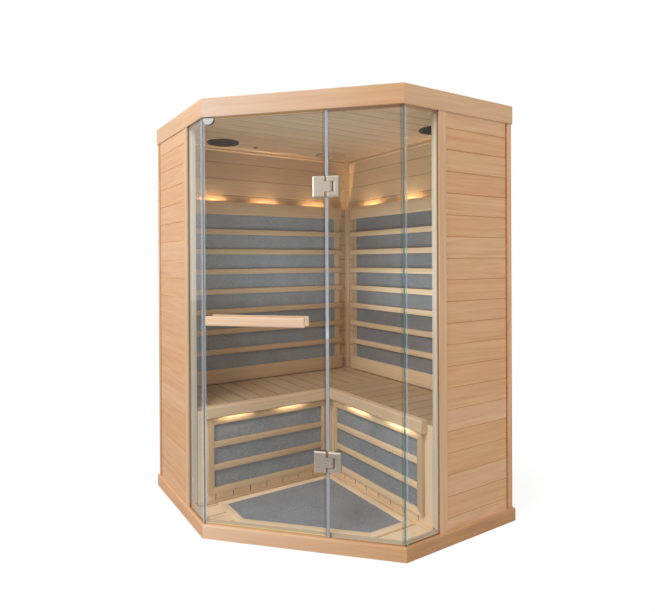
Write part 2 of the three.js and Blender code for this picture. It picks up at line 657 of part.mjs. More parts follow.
function doorPane() {
  const pane = box(DOOR_FREE_EDGE, DOOR_EDGE, -GLASS_FACE, GLASS_FACE, DOOR_BOTTOM, DOOR_TOP);
  const holes = STANDOFFS.map((x) =>
    rod(x, HANDLE_LEVEL, STUD_RADIUS + 2 * TURNED_GAP, -GLASS_THICKNESS, GLASS_THICKNESS));
  return cut(pane, holes);
}

put(door, 'door_glass', doorPane(), clearGlass);

// Seals: the hinge side in three lengths between the hinges, and the strike seal at the left corner
const sealFrom = HINGE_U - DOOR_HINGE_EDGE + SEAL_DOOR_GAP;
const sealTo = PANE_EDGE - TURNED_GAP;
const hingeReach = HINGE_HEIGHT / 2 + JOIN_OVERLAP;
const sealStops = {
  bottom: [PLINTH_HEIGHT + JOIN_OVERLAP, HINGE_LEVELS.lower - hingeReach],
  middle: [HINGE_LEVELS.lower + hingeReach, HINGE_LEVELS.upper - hingeReach],
  top: [HINGE_LEVELS.upper + hingeReach, WALL_TOP - JOIN_OVERLAP],
};
Object.entries(sealStops).forEach(([place, [low, high]]) => {
  put(front, `hinge_seal_${place}`, box(sealFrom, sealTo, GLASS_MIDDLE - SEAL_THICKNESS / 2,
    GLASS_MIDDLE + SEAL_THICKNESS / 2, low, high), clearSeal);
});

function strikeSeal() {
  const outer = GLASS_SETBACK - HALF;
  const inner = GLASS_INNER - HALF;
  const nose = outer + STRIKE_NOSE;
  const back = FRONT_CORNER + STRIKE_PANE_EDGE - TURNED_GAP;
  const facingDoor = (x) => x - (HINGE_U + DOOR_FREE_EDGE - STRIKE_GAP) * Math.SQRT2;
  const outline = [[outer, back], [outer, facingDoor(nose)], [nose, facingDoor(nose)],
    [inner, facingDoor(inner)], [inner, back]];
  return pull('z', outline, PLINTH_HEIGHT + JOIN_OVERLAP, WALL_TOP - JOIN_OVERLAP);
}

put(cabin, 'strike_seal', strikeSeal(), clearSeal);

// Hinges: the door leaf grips the door and carries the knuckle, the pane leaf grips the pane and the pin
const PLATE_FACE = GLASS_FACE + HINGE_PLATE;
const GLASS_SLOT = GLASS_FACE + TURNED_GAP;
const NOTCH_END = NOTCH_DEPTH - PANE_LEAF_INSET;

function doorLeaf(level) {
  const low = level - HINGE_HEIGHT / 2;
  const high = level + HINGE_HEIGHT / 2;
  const knuckleLow = level - KNUCKLE_HEIGHT / 2;
  const knuckleHigh = level + KNUCKLE_HEIGHT / 2;
  const plates = box(DOOR_EDGE - DOOR_LEAF_WIDTH, DOOR_EDGE, -PLATE_FACE, PLATE_FACE, low, high);
  const web = box(DOOR_EDGE - JOIN_OVERLAP, 0, -PLATE_FACE, PLATE_FACE, knuckleLow, knuckleHigh);
  const round = pillar(0, 0, NOTCH_END - KNUCKLE_PLAY, knuckleLow, knuckleHigh);
  const barrel = round.intersect(box(-NOTCH_END, NOTCH_END, -PLATE_FACE, PLATE_FACE, low, high));
  const slot = box(DOOR_EDGE - 2 * DOOR_LEAF_WIDTH, DOOR_EDGE + TURNED_GAP,
    -GLASS_SLOT, GLASS_SLOT, 0, TOTAL_HEIGHT);
  const bore = pillar(0, 0, PIN_RADIUS + TURNED_GAP, 0, TOTAL_HEIGHT, PIN_SIDES);
  return cut(unite([plates, web, barrel]), [slot, bore]);
}

function paneLeaf(level) {
  const low = level - HINGE_HEIGHT / 2;
  const high = level + HINGE_HEIGHT / 2;
  const reach = PANE_LEAF_WIDTH - PANE_LEAF_INSET;
  const half = KNUCKLE_HEIGHT / 2 + KNUCKLE_PLAY;
  const block = box(-PANE_LEAF_INSET, reach, -PLATE_FACE, PLATE_FACE, low, high);
  const notch = box(-PANE_LEAF_WIDTH, NOTCH_END, -HINGE_HEIGHT, HINGE_HEIGHT, level - half, level + half);
  const slot = box(NOTCH_END + NOTCH_WALL, 2 * reach, -GLASS_SLOT, GLASS_SLOT, 0, TOTAL_HEIGHT);
  return cut(block, [notch, slot]).add(pillar(0, 0, PIN_RADIUS, low, high, PIN_SIDES));
}

const hingeLine = new THREE.Group();
hingeLine.position.copy(door.position);
front.add(hingeLine);
Object.entries(HINGE_LEVELS).forEach(([place, level]) => {
  put(door, `${place}_hinge_door_leaf`, doorLeaf(level), satinNickel);
  put(hingeLine, `${place}_hinge_pane_leaf`, paneLeaf(level), satinNickel);
});

// Handle: a wooden bar on each side of the glass, held by studs that pass through it
function handleBar(side) {
  const near = GLASS_FACE + HANDLE_REACH;
  const depth = [side * near, side * (near + HANDLE_BAR_DEPTH)].sort((a, b) => a - b);
  const height = [HANDLE_LEVEL - HANDLE_BAR_HEIGHT / 2, HANDLE_LEVEL + HANDLE_BAR_HEIGHT / 2];
  return pull('x', roundedOutline(depth, height, HANDLE_ROUND), HANDLE_FROM, HANDLE_TO);
}

function standoffs(side, radius, from, to) {
  const reach = [side * from, side * to].sort((a, b) => a - b);
  return STANDOFFS.map((x) => rod(x, HANDLE_LEVEL, radius, ...reach));
}

const standoffEnd = GLASS_FACE + HANDLE_REACH + JOIN_OVERLAP;
const outerStandoffs = standoffs(-1, STANDOFF_RADIUS, GLASS_FACE + TURNED_GAP, standoffEnd);
const innerStandoffs = standoffs(1, STANDOFF_RADIUS, GLASS_FACE + TURNED_GAP, standoffEnd);
const studs = standoffs(1, STUD_RADIUS, -GLASS_FACE - STUD_GRIP, standoffEnd);
const studHoles = standoffs(-1, STUD_RADIUS + TURNED_GAP, 0, GLASS_FACE + STUD_GRIP + TURNED_GAP);
put(door, 'outer_handle_bar', cut(unite([handleBar(-1), ...outerStandoffs]), studHoles), innerWood);
put(door, 'inner_handle_bar', unite([handleBar(1), ...innerStandoffs, ...studs]), innerWood);

// Catch: a half-round plate clipped over the top of the door, and a magnet in the door stop
function strikePlate() {
  const middle = CATCH_U - HINGE_U;
  const top = DOOR_TOP + TURNED_GAP + CATCH_BRIDGE;
  const face = GLASS_SLOT + CATCH_THICKNESS;
  const wide = [middle - CATCH_RADIUS, middle + CATCH_RADIUS];
  const beyond = [middle - 2 * CATCH_RADIUS, middle + 2 * CATCH_RADIUS];
  const disc = rod(middle, DOOR_TOP, CATCH_RADIUS, -face, face, ROUND_SIDES);
  const upper = box(...wide, -face, face, DOOR_TOP - JOIN_OVERLAP, top);
  const above = box(...beyond, -2 * face, 2 * face, top, top + 2 * CATCH_RADIUS);
  const slot = box(...beyond, -GLASS_SLOT, GLASS_SLOT, DOOR_TOP - 2 * CATCH_RADIUS, DOOR_TOP + TURNED_GAP);
  return cut(disc.add(upper), [above, slot]);
}

function magnetCatch() {
  const face = GLASS_INNER + TURNED_GAP + CATCH_THICKNESS + MAGNET_GAP;
  return box(CATCH_U - MAGNET_WIDTH / 2, CATCH_U + MAGNET_WIDTH / 2, face, STOP_INNER,
    WALL_TOP - STOP_DROP, WALL_TOP - TURNED_GAP);
}

put(door, 'door_strike_plate', strikePlate(), paleGreyPlastic);
put(front, 'magnet_catch', magnetCatch(), paleGreyPlastic);

// Benches: boarded tops on a rounded front rail, with a vertical-board face below
function benchRail() {
  const outline = roundedOutline([RAIL_BOTTOM, BENCH_TOP], [RAIL_FRONT, RAIL_BACK], RAIL_ROUND);
  const bar = pull('y', outline, -RAIL_END, RAIL_BACK);
  const near = RAIL_FRONT - RAIL_DEPTH;
  const far = RAIL_BACK + RAIL_DEPTH;
  const mitre = pull('z', [[near, near], [far, far], [near, far]], 0, TOTAL_HEIGHT);
  return cut(bar, [mitre]);
}

putBothHalves('bench_rail', benchRail(), innerWood);

const benchReach = ROOM - FIT_GAP;
const rightTopEnd = RAIL_BACK - FIT_GAP;
const topLevels = [BENCH_UNDERSIDE, BENCH_TOP];
const leftTop = boards(topLevels, [-benchReach, benchReach], 'a1',
  jointMarks(-benchReach, benchReach, LEFT_BENCH_JOINT));
const rightTop = boards([-benchReach, rightTopEnd], topLevels, 'b1',
  jointMarks(-benchReach, rightTopEnd, RIGHT_BENCH_JOINT));
put(cabin, 'left_bench_top', pull('y', leftTop, RAIL_BACK, benchReach), innerWood);
put(cabin, 'right_bench_top', pull('x', rightTop, RAIL_BACK, benchReach), innerWood);

const leftFace = boards([-benchReach, BENCH_FACE_BACK], [BENCH_FACE, BENCH_FACE_BACK], 'b0',
  jointMarks(-benchReach, BENCH_FACE));
const rightFaceEnd = BENCH_FACE - FIT_GAP;
const rightFace = boards([BENCH_FACE, BENCH_FACE_BACK], [-benchReach, rightFaceEnd], 'a0',
  jointMarks(-benchReach, rightFaceEnd));
// Beyond the end of the rail the face rises to the bench boards and closes the space below them
const faceEnd = box(BENCH_FACE, BENCH_FACE_BACK, -benchReach, -RAIL_END - FIT_GAP,
  RAIL_BOTTOM - JOIN_OVERLAP, BENCH_UNDERSIDE - FIT_GAP);
put(cabin, 'left_bench_face', pull('z', leftFace, FLOOR_TOP, RAIL_BOTTOM).add(otherHalf(faceEnd)), innerWood);
put(cabin, 'right_bench_face', pull('z', rightFace, FLOOR_TOP, RAIL_BOTTOM).add(faceEnd), innerWood);

// Bench heaters: a framed plate with slats in front of it, fixed to the bench face
const heaterFront = BENCH_FACE - HEATER_FRAME_DEPTH;
const heaterSlatBack = BENCH_FACE - HEATER_PLATE - FIT_GAP;
const frameSpan = [HEATER_FRAME_OUTER_GAP - ROOM, heaterFront - HEATER_FRAME_INNER_GAP];
const frameLevels = [FLOOR_TOP + HEATER_FRAME_FOOT_GAP, RAIL_BOTTOM - HEATER_FRAME_HEAD_GAP];
const grown = ([from, to], by) => [from - by, to + by];
const windowSpan = grown(frameSpan, -HEATER_FRAME_MEMBER);
const windowLevels = grown(frameLevels, -HEATER_FRAME_MEMBER);

function benchHeaterFrame() {
  const block = box(heaterFront, BENCH_FACE, ...frameSpan, ...frameLevels);
  const window = box(0, 2 * BENCH_FACE, ...windowSpan, ...windowLevels);
  const rebate = box(heaterSlatBack, 2 * BENCH_FACE,
    ...grown(windowSpan, HEATER_LIP), ...grown(windowLevels, HEATER_LIP));
  const [low, high] = windowLevels;
  const band = (high - low - HEATER_FRAME_SLATS * HEATER_FRAME_SLAT) / (HEATER_FRAME_SLATS + 1);
  const slats = Array.from({ length: HEATER_FRAME_SLATS }, (_, i) => {
    const foot = low + band * (i + 1) + HEATER_FRAME_SLAT * i;
    const span = grown(windowSpan, JOIN_OVERLAP);
    return box(heaterFront, heaterSlatBack, ...span, foot, foot + HEATER_FRAME_SLAT);
  });
  return unite([cut(block, [window, rebate]), ...slats]);
}

const benchHeater = box(BENCH_FACE - HEATER_PLATE, BENCH_FACE,
  ...grown(windowSpan, HEATER_LIP - FIT_GAP), ...grown(windowLevels, HEATER_LIP - FIT_GAP));
putBothHalves('bench_heater_frame', benchHeaterFrame(), innerWood);
putBothHalves('bench_heater', benchHeater, heaterFelt);

// Backrests: boards and slats across two stiles, with a heater plate and a light bar behind them
const slatsFrom = BACK_BOTTOM + BACK_LOWER_BOARD;
const slatsTo = BACK_TOP - BACK_UPPER_BOARD;
const slatBand = (slatsTo - slatsFrom - BACK_SLATS * BACK_SLAT) / (BACK_SLATS + 1);
const lightTop = BACK_TOP - LIGHT_BAR_DROP;
const backSpan = [BACK_OUTER_GAP - ROOM, BACK_FRONT - BACK_INNER_GAP];
const stileSpan = grown(backSpan, -STILE_INSET);

function backrestFrame() {
  const across = (low, high) => box(BACK_FRONT, BACK_BOARD_BACK, ...backSpan, low, high);
  const slats = Array.from({ length: BACK_SLATS }, (_, i) => {
    const low = slatsFrom + slatBand * (i + 1) + BACK_SLAT * i;
    return across(low, low + BACK_SLAT);
  });
  const [outer, inner] = stileSpan;
  const stiles = [[outer, outer + STILE_WIDTH], [inner - STILE_WIDTH, inner]].map((span) =>
    box(BACK_BOARD_BACK - STILE_HOUSING, ROOM, ...span, BACK_BOTTOM, lightTop));
  return unite([across(BACK_BOTTOM, slatsFrom), ...slats, across(slatsTo, BACK_TOP), ...stiles]);
}

const backHeater = box(BACK_BOARD_BACK, BACK_BOARD_BACK + BACK_HEATER_PLATE,
  ...grown(stileSpan, -STILE_WIDTH - FIT_GAP),
  slatsFrom - BACK_LOWER_BOARD / 2, slatsTo + BACK_UPPER_BOARD / 2 - LIGHT_BAR_DROP);
const backLight = box(BACK_BOARD_BACK, BACK_BOARD_BACK + LIGHT_BAR_DEPTH,
  ...grown(backSpan, -LIGHT_BAR_INSET), lightTop - LIGHT_BAR_HEIGHT, lightTop);
putBothHalves('backrest_frame', backrestFrame(), innerWood);
putBothHalves('back_heater', backHeater, heaterFelt);
putBothHalves('back_light_bar', backLight, warmLight);

// Ceiling fittings: loudspeakers, the turning vent disc, and the electrics on the roof
function speaker() {
  const [x, y] = SPEAKER_PLACE;
  const flange = pillar(x, y, SPEAKER_RADIUS, CEILING_HEIGHT - SPEAKER_FLANGE, CEILING_HEIGHT);
  const basketTop = CORE_TOP - SPEAKER_HEADROOM;
  return flange.add(pillar(x, y, SPEAKER_BASKET_RADIUS, CEILING_HEIGHT - SPEAKER_FLANGE / 2, basketTop));
}

function ventDisc() {
  const [x, y] = VENT_PLACE;
  const top = CEILING_HEIGHT - TURNED_GAP;
  const disc = pillar(x, y, VENT_RADIUS, top - VENT_THICKNESS, top);
  const pivotTop = CEILING_TOP - GROOVE_DEPTH - TURNED_GAP;
  const pivot = pillar(x, y, VENT_PIVOT_RADIUS - TURNED_GAP, top - VENT_THICKNESS / 2, pivotTop, PIN_SIDES);
  return cut(disc, ventPorts(0, TOTAL_HEIGHT)).add(pivot);
}

function powerBox() {
  const middle = POWER_BOX_MIDDLE;
  const edge = middle + POWER_BOX_WIDTH / 2;
  const casing = box(middle - POWER_BOX_LENGTH / 2, middle + POWER_BOX_LENGTH / 2,
    edge - POWER_BOX_WIDTH, edge, COVER_TOP, COVER_TOP + POWER_BOX_HEIGHT);
  const level = COVER_TOP + POWER_BOX_HEIGHT / 2;
  return casing.add(rod(middle, level, GLAND_RADIUS, edge - JOIN_OVERLAP, edge + GLAND_LENGTH));
}

function controlPanel() {
  const low = CONTROL_LEVEL - CONTROL_HEIGHT / 2;
  const face = roundedOutline(
    [CONTROL_SIDE, CONTROL_SIDE + CONTROL_WIDTH], [low, low + CONTROL_HEIGHT], CONTROL_ROUND);
  return pull('x', face, -ROOM, CONTROL_DEPTH - ROOM);
}

putBothHalves('speaker', speaker(), darkPlastic);
put(cabin, 'vent_disc', ventDisc(), innerWood);
put(cabin, 'power_box', powerBox(), paintedSteel);
put(cabin, 'control_panel', controlPanel(), darkPlastic);

export default cabin;
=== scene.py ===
import math
import bmesh
import bpy
from mathutils import Matrix, Vector


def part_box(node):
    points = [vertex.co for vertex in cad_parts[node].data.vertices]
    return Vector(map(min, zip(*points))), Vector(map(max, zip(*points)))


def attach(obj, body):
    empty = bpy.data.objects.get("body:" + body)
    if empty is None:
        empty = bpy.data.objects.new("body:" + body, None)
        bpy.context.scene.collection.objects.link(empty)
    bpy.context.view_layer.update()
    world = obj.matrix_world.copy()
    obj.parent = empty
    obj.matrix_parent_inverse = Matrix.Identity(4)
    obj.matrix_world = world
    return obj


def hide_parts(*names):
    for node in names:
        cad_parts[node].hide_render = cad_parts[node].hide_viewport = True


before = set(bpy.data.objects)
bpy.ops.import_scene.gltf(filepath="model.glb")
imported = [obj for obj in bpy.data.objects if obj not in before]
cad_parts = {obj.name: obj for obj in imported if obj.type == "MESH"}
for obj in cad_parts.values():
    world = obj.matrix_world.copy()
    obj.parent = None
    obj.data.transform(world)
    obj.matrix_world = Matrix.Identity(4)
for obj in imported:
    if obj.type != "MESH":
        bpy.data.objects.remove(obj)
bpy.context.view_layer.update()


# Base. A boarded floor on a frame, closed round the front by three mitred plinth boards with a rounded
# top edge. It is all planed softwood with a fine straight grain, oiled outside and left raw inside.
X = Vector((1, 0, 0))
Y = Vector((0, 1, 0))
Z = Vector((0, 0, 1))
FRONT = Vector((1, -1, 0)).normalized()
INWARDS = Vector((1, 1, 0)).normalized()
OILED = ((0.815, 0.488, 0.262), (0.650, 0.338, 0.158))
RAW = ((0.745, 0.535, 0.335), (0.625, 0.420, 0.245))
BOARD_PITCH = 0.0935
FIRST_ROW = -0.6035
JOINT = 0.0017
JOINT_SHADE = 0.40
# The floor wood is paler than the raw wood, partly its own tone and partly painted light for the shade on
# the floor, its border and the bench fronts.
FLOOR_WOOD = ((0.98, 0.78, 0.54), (0.90, 0.68, 0.445))
# Painted sheen and shade: the front plinth is paler and cooler at its left end and darker at its right,
# and the right plinth is a darker copy of the oiled wood.
PLINTH_SHEEN_END = ((0.86, 0.60, 0.40), (0.755, 0.49, 0.30))
PLINTH_SHADE_END = ((0.715, 0.415, 0.215), (0.585, 0.295, 0.130))
SHADED_SIDE_PLINTH = ((0.590, 0.325, 0.155), (0.475, 0.228, 0.093))
FRONT_LENGTH = 0.884
SILL_WOOD = ((0.72, 0.59, 0.435), (0.62, 0.49, 0.335))
FRONT_SILL = -0.4560
SIDE_SILL = -0.6310


def calc(tree, operation, *values):
    made = tree.nodes.new("ShaderNodeMath")
    made.operation = operation
    for socket, value in zip(made.inputs, values):
        if isinstance(value, bpy.types.NodeSocket):
            tree.links.new(value, socket)
        else:
            socket.default_value = value
    return made.outputs[0]


def limit(tree, value):
    return calc(tree, "MAXIMUM", calc(tree, "MINIMUM", value, 1.0), 0.0)


def noise(tree, vector, scale, detail, roughness=0.5, distortion=0.0):
    made = tree.nodes.new("ShaderNodeTexNoise")
    tree.links.new(vector, made.inputs["Vector"])
    made.inputs["Scale"].default_value = scale
    made.inputs["Detail"].default_value = detail
    made.inputs["Roughness"].default_value = roughness
    made.inputs["Distortion"].default_value = distortion
    return made.outputs[0]


def blend_colours(tree, amount, first, second):
    made = tree.nodes.new("ShaderNodeMix")
    made.data_type = "RGBA"
    for socket, value in zip((made.inputs[0], made.inputs[6], made.inputs[7]), (amount, first, second)):
        if isinstance(value, bpy.types.NodeSocket):
            tree.links.new(value, socket)
        elif socket.type == "RGBA":
            socket.default_value = (*value, 1)
        else:
            socket.default_value = value
    return made.outputs[2]


def make_group(name, inputs, outputs):
    tree = bpy.data.node_groups.new(name, "ShaderNodeTree")
    for direction, sockets in (("INPUT", inputs), ("OUTPUT", outputs)):
        for socket, kind in sockets:
            tree.interface.new_socket(socket, in_out=direction, socket_type="NodeSocket" + kind)
    return tree, tree.nodes.new("NodeGroupInput").outputs, tree.nodes.new("NodeGroupOutput").inputs


def make_wood_grain():
    """Straight-grained softwood: year rings, fine fibres, a slow mottle and a tone for each board."""
    tree, given, result = make_group(
        "wood_grain",
        [("Along", "Float"), ("Across", "Float"), ("Depth", "Float"), ("Board", "Float"),
         ("End", "Float"), ("Joint", "Float"), ("Pale", "Color"), ("Dark", "Color")],
        [("Color", "Color"), ("Roughness", "Float"), ("Height", "Float")])
    chance = tree.nodes.new("ShaderNodeTexWhiteNoise")
    chance.noise_dimensions = "1D"
    tree.links.new(given["Board"], chance.inputs["W"])
    shift = tree.nodes.new("ShaderNodeVectorMath")
    shift.operation = "SCALE"
    shift.inputs["Scale"].default_value = 30
    tree.links.new(chance.outputs["Color"], shift.inputs[0])

    def stretched(along, across):
        joined = tree.nodes.new("ShaderNodeCombineXYZ")
        for socket, name, factor in zip(
                joined.inputs, ("Along", "Across", "Depth"), (along, across, across)):
            tree.links.new(calc(tree, "MULTIPLY", given[name], factor), socket)
        moved = tree.nodes.new("ShaderNodeVectorMath")
        tree.links.new(joined.outputs[0], moved.inputs[0])
        tree.links.new(shift.outputs[0], moved.inputs[1])
        return moved.outputs[0]

    year = noise(tree, stretched(0.8, 13), 1, 2, 0.5, 0.3)
    rings = calc(tree, "PINGPONG", calc(tree, "MULTIPLY", year, 8), 0.5)
    fibres = noise(tree, stretched(6, 170), 1, 3, 0.6)
    streaks = noise(tree, stretched(1.1, 48), 1, 2, 0.6)
    mottle = noise(tree, stretched(2.2, 7), 1, 2)
    tone = calc(tree, "MULTIPLY_ADD", rings, 0.60, -0.815)
    tone = calc(tree, "MULTIPLY_ADD", streaks, 0.75, tone)
    tone = calc(tree, "MULTIPLY_ADD", fibres, 0.85, tone)
    tone = calc(tree, "MULTIPLY_ADD", mottle, 0.50, tone)
    tone = calc(tree, "MULTIPLY_ADD", chance.outputs["Value"], 0.24, tone)
    tone = limit(tree, calc(tree, "MULTIPLY_ADD", given["End"], 0.35, tone))
    shade = blend_colours(tree, tone, given["Pale"], given["Dark"])
    tint = tree.nodes.new("ShaderNodeHueSaturation")
    hue = calc(tree, "MULTIPLY_ADD", streaks, -0.016, 0.501)
    tree.links.new(calc(tree, "MULTIPLY_ADD", mottle, 0.014, hue), tint.inputs["Hue"])
    depth = calc(tree, "MULTIPLY_ADD", chance.outputs["Value"], 0.06, 0.97)
    tree.links.new(calc(tree, "MULTIPLY_ADD", given["Joint"], 0.6, depth), tint.inputs["Saturation"])
    tree.links.new(calc(tree, "SUBTRACT", 1.0, given["Joint"]), tint.inputs["Value"])
    tree.links.new(shade, tint.inputs["Color"])
    tree.links.new(tint.outputs[0], result["Color"])
    tree.links.new(calc(tree, "MULTIPLY_ADD", fibres, 0.24, 0.42), result["Roughness"])
    tree.links.new(calc(tree, "MULTIPLY_ADD", rings, 0.8, fibres), result["Height"])
    return tree


wood_grain = make_wood_grain()


def start_material(name):
    made = bpy.data.materials.new(name)
    made.use_nodes = True
    return made, made.node_tree, made.node_tree.nodes["Principled BSDF"].inputs


def add_bump(tree, height, surface, strength, distance):
    bump = tree.nodes.new("ShaderNodeBump")
    bump.inputs["Strength"].default_value = strength
    bump.inputs["Distance"].default_value = distance
    tree.links.new(height, bump.inputs["Height"])
    tree.links.new(bump.outputs[0], surface["Normal"])


def wood(name, along, across, colours, pitch=None, start=0.0, joint_shade=JOINT_SHADE, far=None,
         sill=None):
    """One board with its grain along a direction, whose tone may fade towards its far end as painted sheen
    and shade, and which may carry a pale sill behind the glass, or rows of boards of a pitch with dark
    joints."""
    made, tree, surface = start_material(name)
    place = tree.nodes.new("ShaderNodeTexCoord")

    def measured(socket, direction):
        dot = tree.nodes.new("ShaderNodeVectorMath")
        dot.operation = "DOT_PRODUCT"
        tree.links.new(place.outputs[socket], dot.inputs[0])
        dot.inputs[1].default_value = direction
        return dot.outputs["Value"]

    grain = tree.nodes.new("ShaderNodeGroup")
    grain.node_tree = wood_grain
    side = measured("Object", across)
    lengthways = measured("Object", along)
    tree.links.new(lengthways, grain.inputs["Along"])
    tree.links.new(side, grain.inputs["Across"])
    tree.links.new(measured("Object", along.cross(across)), grain.inputs["Depth"])
    if pitch:
        rows = calc(tree, "DIVIDE", calc(tree, "SUBTRACT", side, start), pitch)
        edge = calc(tree, "MULTIPLY", calc(tree, "PINGPONG", rows, 0.5), pitch / JOINT)
        near_edge = limit(tree, calc(tree, "SUBTRACT", 1.35, edge))
        tree.links.new(calc(tree, "FLOOR", rows), grain.inputs["Board"])
        tree.links.new(calc(tree, "MULTIPLY", near_edge, joint_shade), grain.inputs["Joint"])
    facing = calc(tree, "ABSOLUTE", measured("Normal", along))
    tree.links.new(calc(tree, "GREATER_THAN", facing, 0.9), grain.inputs["End"])
    for number, socket in enumerate(("Pale", "Dark")):
        shade = colours[number]
        # Painted sheen and shade: the colour fades from the near colours to the far ones along the board.
        if far:
            change = limit(tree, calc(tree, "MULTIPLY_ADD", lengthways, 1 / FRONT_LENGTH, 0.5))
            shade = blend_colours(tree, change, shade, far[number])
        if sill:
            behind = calc(tree, "GREATER_THAN", measured("Object", sill[0]), sill[1])
            shade = blend_colours(tree, behind, shade, SILL_WOOD[number])
        if far or sill:
            tree.links.new(shade, grain.inputs[socket])
        else:
            grain.inputs[socket].default_value = (*shade, 1)
    tree.links.new(grain.outputs["Color"], surface["Base Color"])
    tree.links.new(grain.outputs["Roughness"], surface["Roughness"])
    add_bump(tree, grain.outputs["Height"], surface, 0.12, 0.0008)
    return made


def dress(material, *nodes):
    for name in nodes:
        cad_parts[name].material_slots[0].material = material


dress(wood("floor_boards", X, Y, FLOOR_WOOD, BOARD_PITCH, FIRST_ROW, 0.6), "floor_panel")
dress(wood("front_plinth_board", FRONT, Z, PLINTH_SHEEN_END, far=PLINTH_SHADE_END, sill=(INWARDS, FRONT_SILL)),
      "front_plinth")
dress(wood("right_plinth_board", X, Z, SHADED_SIDE_PLINTH, sill=(Y, SIDE_SILL)), "right_plinth")
dress(wood("left_plinth_board", Y, Z, OILED, sill=(X, SIDE_SILL)), "left_plinth")


# Floor heater. A five-sided plate with a matt speckled face lies on the floor boards, inside five
# border boards that are mitred at the corners and screwed down.
PLATE_GREY = ((0.37, 0.385, 0.41), (0.225, 0.235, 0.255))
BORDER_EASE = 0.0012
BORDER_FIT = 0.0005
SHARP_ANGLE = math.radians(34)


def speckled_plate(name, colours):
    made, tree, surface = start_material(name)
    place = tree.nodes.new("ShaderNodeTexCoord").outputs["Object"]
    specks = noise(tree, place, 130, 3, 0.75)
    cloud = noise(tree, place, 11, 3)
    amount = calc(tree, "MULTIPLY_ADD", specks, 2.2, -0.95)
    amount = limit(tree, calc(tree, "MULTIPLY_ADD", cloud, 0.7, amount))
    tree.links.new(blend_colours(tree, amount, *colours), surface["Base Color"])
    tree.links.new(calc(tree, "MULTIPLY_ADD", specks, 0.2, 0.72), surface["Roughness"])
    add_bump(tree, specks, surface, 0.25, 0.0006)
    return made


def settle(bm, name, materials):
    """The finished mesh of a piece, as an object at the origin with its edges shaded by angle."""
    bmesh.ops.recalc_face_normals(bm, faces=bm.faces[:])
    bm.normal_update()
    for face in bm.faces:
        face.smooth = True
    for edge in bm.edges:
        edge.smooth = edge.calc_face_angle(math.pi) < SHARP_ANGLE
    mesh = bpy.data.meshes.new(name)
    bm.to_mesh(mesh)
    bm.free()
    for material in materials:
        mesh.materials.append(material)
    made = bpy.data.objects.new(name, mesh)
    bpy.context.scene.collection.objects.link(made)
    return made


def fix(piece, body="cabin", stands_for=()):
    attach(piece, body)
    if stands_for:
        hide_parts(*stands_for)


def add_prism(bm, outline, way, ease, material=0):
    """A flat outline of points pushed along a direction, with its edges eased."""
    near = [bm.verts.new(point) for point in outline]
    far = [bm.verts.new(Vector(point) + Vector(way)) for point in outline]
    faces = [bm.faces.new(near), bm.faces.new(far[::-1])]
    for i in range(len(near)):
        j = (i + 1) % len(near)
        faces.append(bm.faces.new((near[i], far[i], far[j], near[j])))
    for face in faces:
        face.material_index = material
    edges = list({edge for face in faces for edge in face.edges})
    bmesh.ops.bevel(bm, geom=edges, offset=ease, segments=2, profile=0.5, affect="EDGES", material=-1)


def cut_square(low, high, front, level):
    """The corners of a square plan whose front corner is cut off at a distance from the middle."""
    cut = front * math.sqrt(2) + low.x
    return [Vector((x, y, level)) for x, y in (
        (high.x, high.y), (low.x, high.y), (low.x, -cut), (-cut, low.y), (high.x, low.y))]


floor_plate = speckled_plate("floor_heater_plate", PLATE_GREY)
dress(floor_plate, "floor_heater")
border_wood = [wood("border_x", X, Y, FLOOR_WOOD), wood("border_y", Y, X, FLOOR_WOOD),
               wood("border_front", FRONT, INWARDS, FLOOR_WOOD)]
plate_low, plate_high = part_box("floor_heater")
border_low, border_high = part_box("floor_heater_border")
floor_top = border_low.z
plate_front = -min(v.co.dot(INWARDS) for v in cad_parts["floor_heater"].data.vertices)
fit = Vector((BORDER_FIT, BORDER_FIT, 0))
inner = cut_square(plate_low - fit, plate_high + fit, plate_front + BORDER_FIT, floor_top)
outer = cut_square(border_low, border_high, plate_front + border_high.x - plate_high.x, floor_top)
border = bmesh.new()
for i, finish in enumerate((0, 1, 2, 0, 1)):
    j = (i + 1) % 5
    outline = [outer[i], outer[j], inner[j], inner[i]]
    add_prism(border, outline, Z * (border_high.z - floor_top), BORDER_EASE, finish)
border_boards = settle(border, "floor_heater_border_boards", border_wood)
fix(border_boards, stands_for=("floor_heater_border",))


# Walls. Tongue-and-groove boards lie in rows outside, and thinner boards of the same pitch line the
# room. A planed post closes the front edge of each side wall and holds the side glass.
TRIM = ((0.785, 0.515, 0.305), (0.655, 0.385, 0.200))
# Painted light and shade: the linings are lit and shaded copies of one raw wood, darkest on the right wall
# and back-left wall and palest on the back-right wall.
LEFT_LINING = ((0.640, 0.442, 0.266), (0.543, 0.352, 0.197))
RIGHT_LINING = ((0.780, 0.590, 0.385), (0.670, 0.492, 0.302))
BACK_LINING = ((0.880, 0.665, 0.435), (0.757, 0.555, 0.340))
WALL_JOINT = 0.114
FINE_JOINT = 0.50
wall_boards_x = wood("wall_boards_x", X, Z, OILED, BOARD_PITCH, WALL_JOINT, 0.19)
wall_boards_y = wood("wall_boards_y", Y, Z, OILED, BOARD_PITCH, WALL_JOINT, 0.0)
lining_boards_x = wood("lining_boards_x", X, Z, LEFT_LINING, BOARD_PITCH, WALL_JOINT, FINE_JOINT)
lining_boards_y = wood("lining_boards_y", Y, Z, RIGHT_LINING, BOARD_PITCH, WALL_JOINT, FINE_JOINT)
dress(wall_boards_x, "right_wall_panel", "back_left_wall_panel")
dress(wall_boards_y, "left_wall_panel", "back_right_wall_panel")
dress(lining_boards_x, "right_wall_lining", "back_left_wall_lining")
dress(lining_boards_y, "left_wall_lining")
dress(wood("back_lining_boards", Y, Z, BACK_LINING, BOARD_PITCH, WALL_JOINT, FINE_JOINT),
      "back_right_wall_lining")
dress(wood("glazing_post", Z, INWARDS, TRIM), "right_glazing_post", "left_glazing_post")


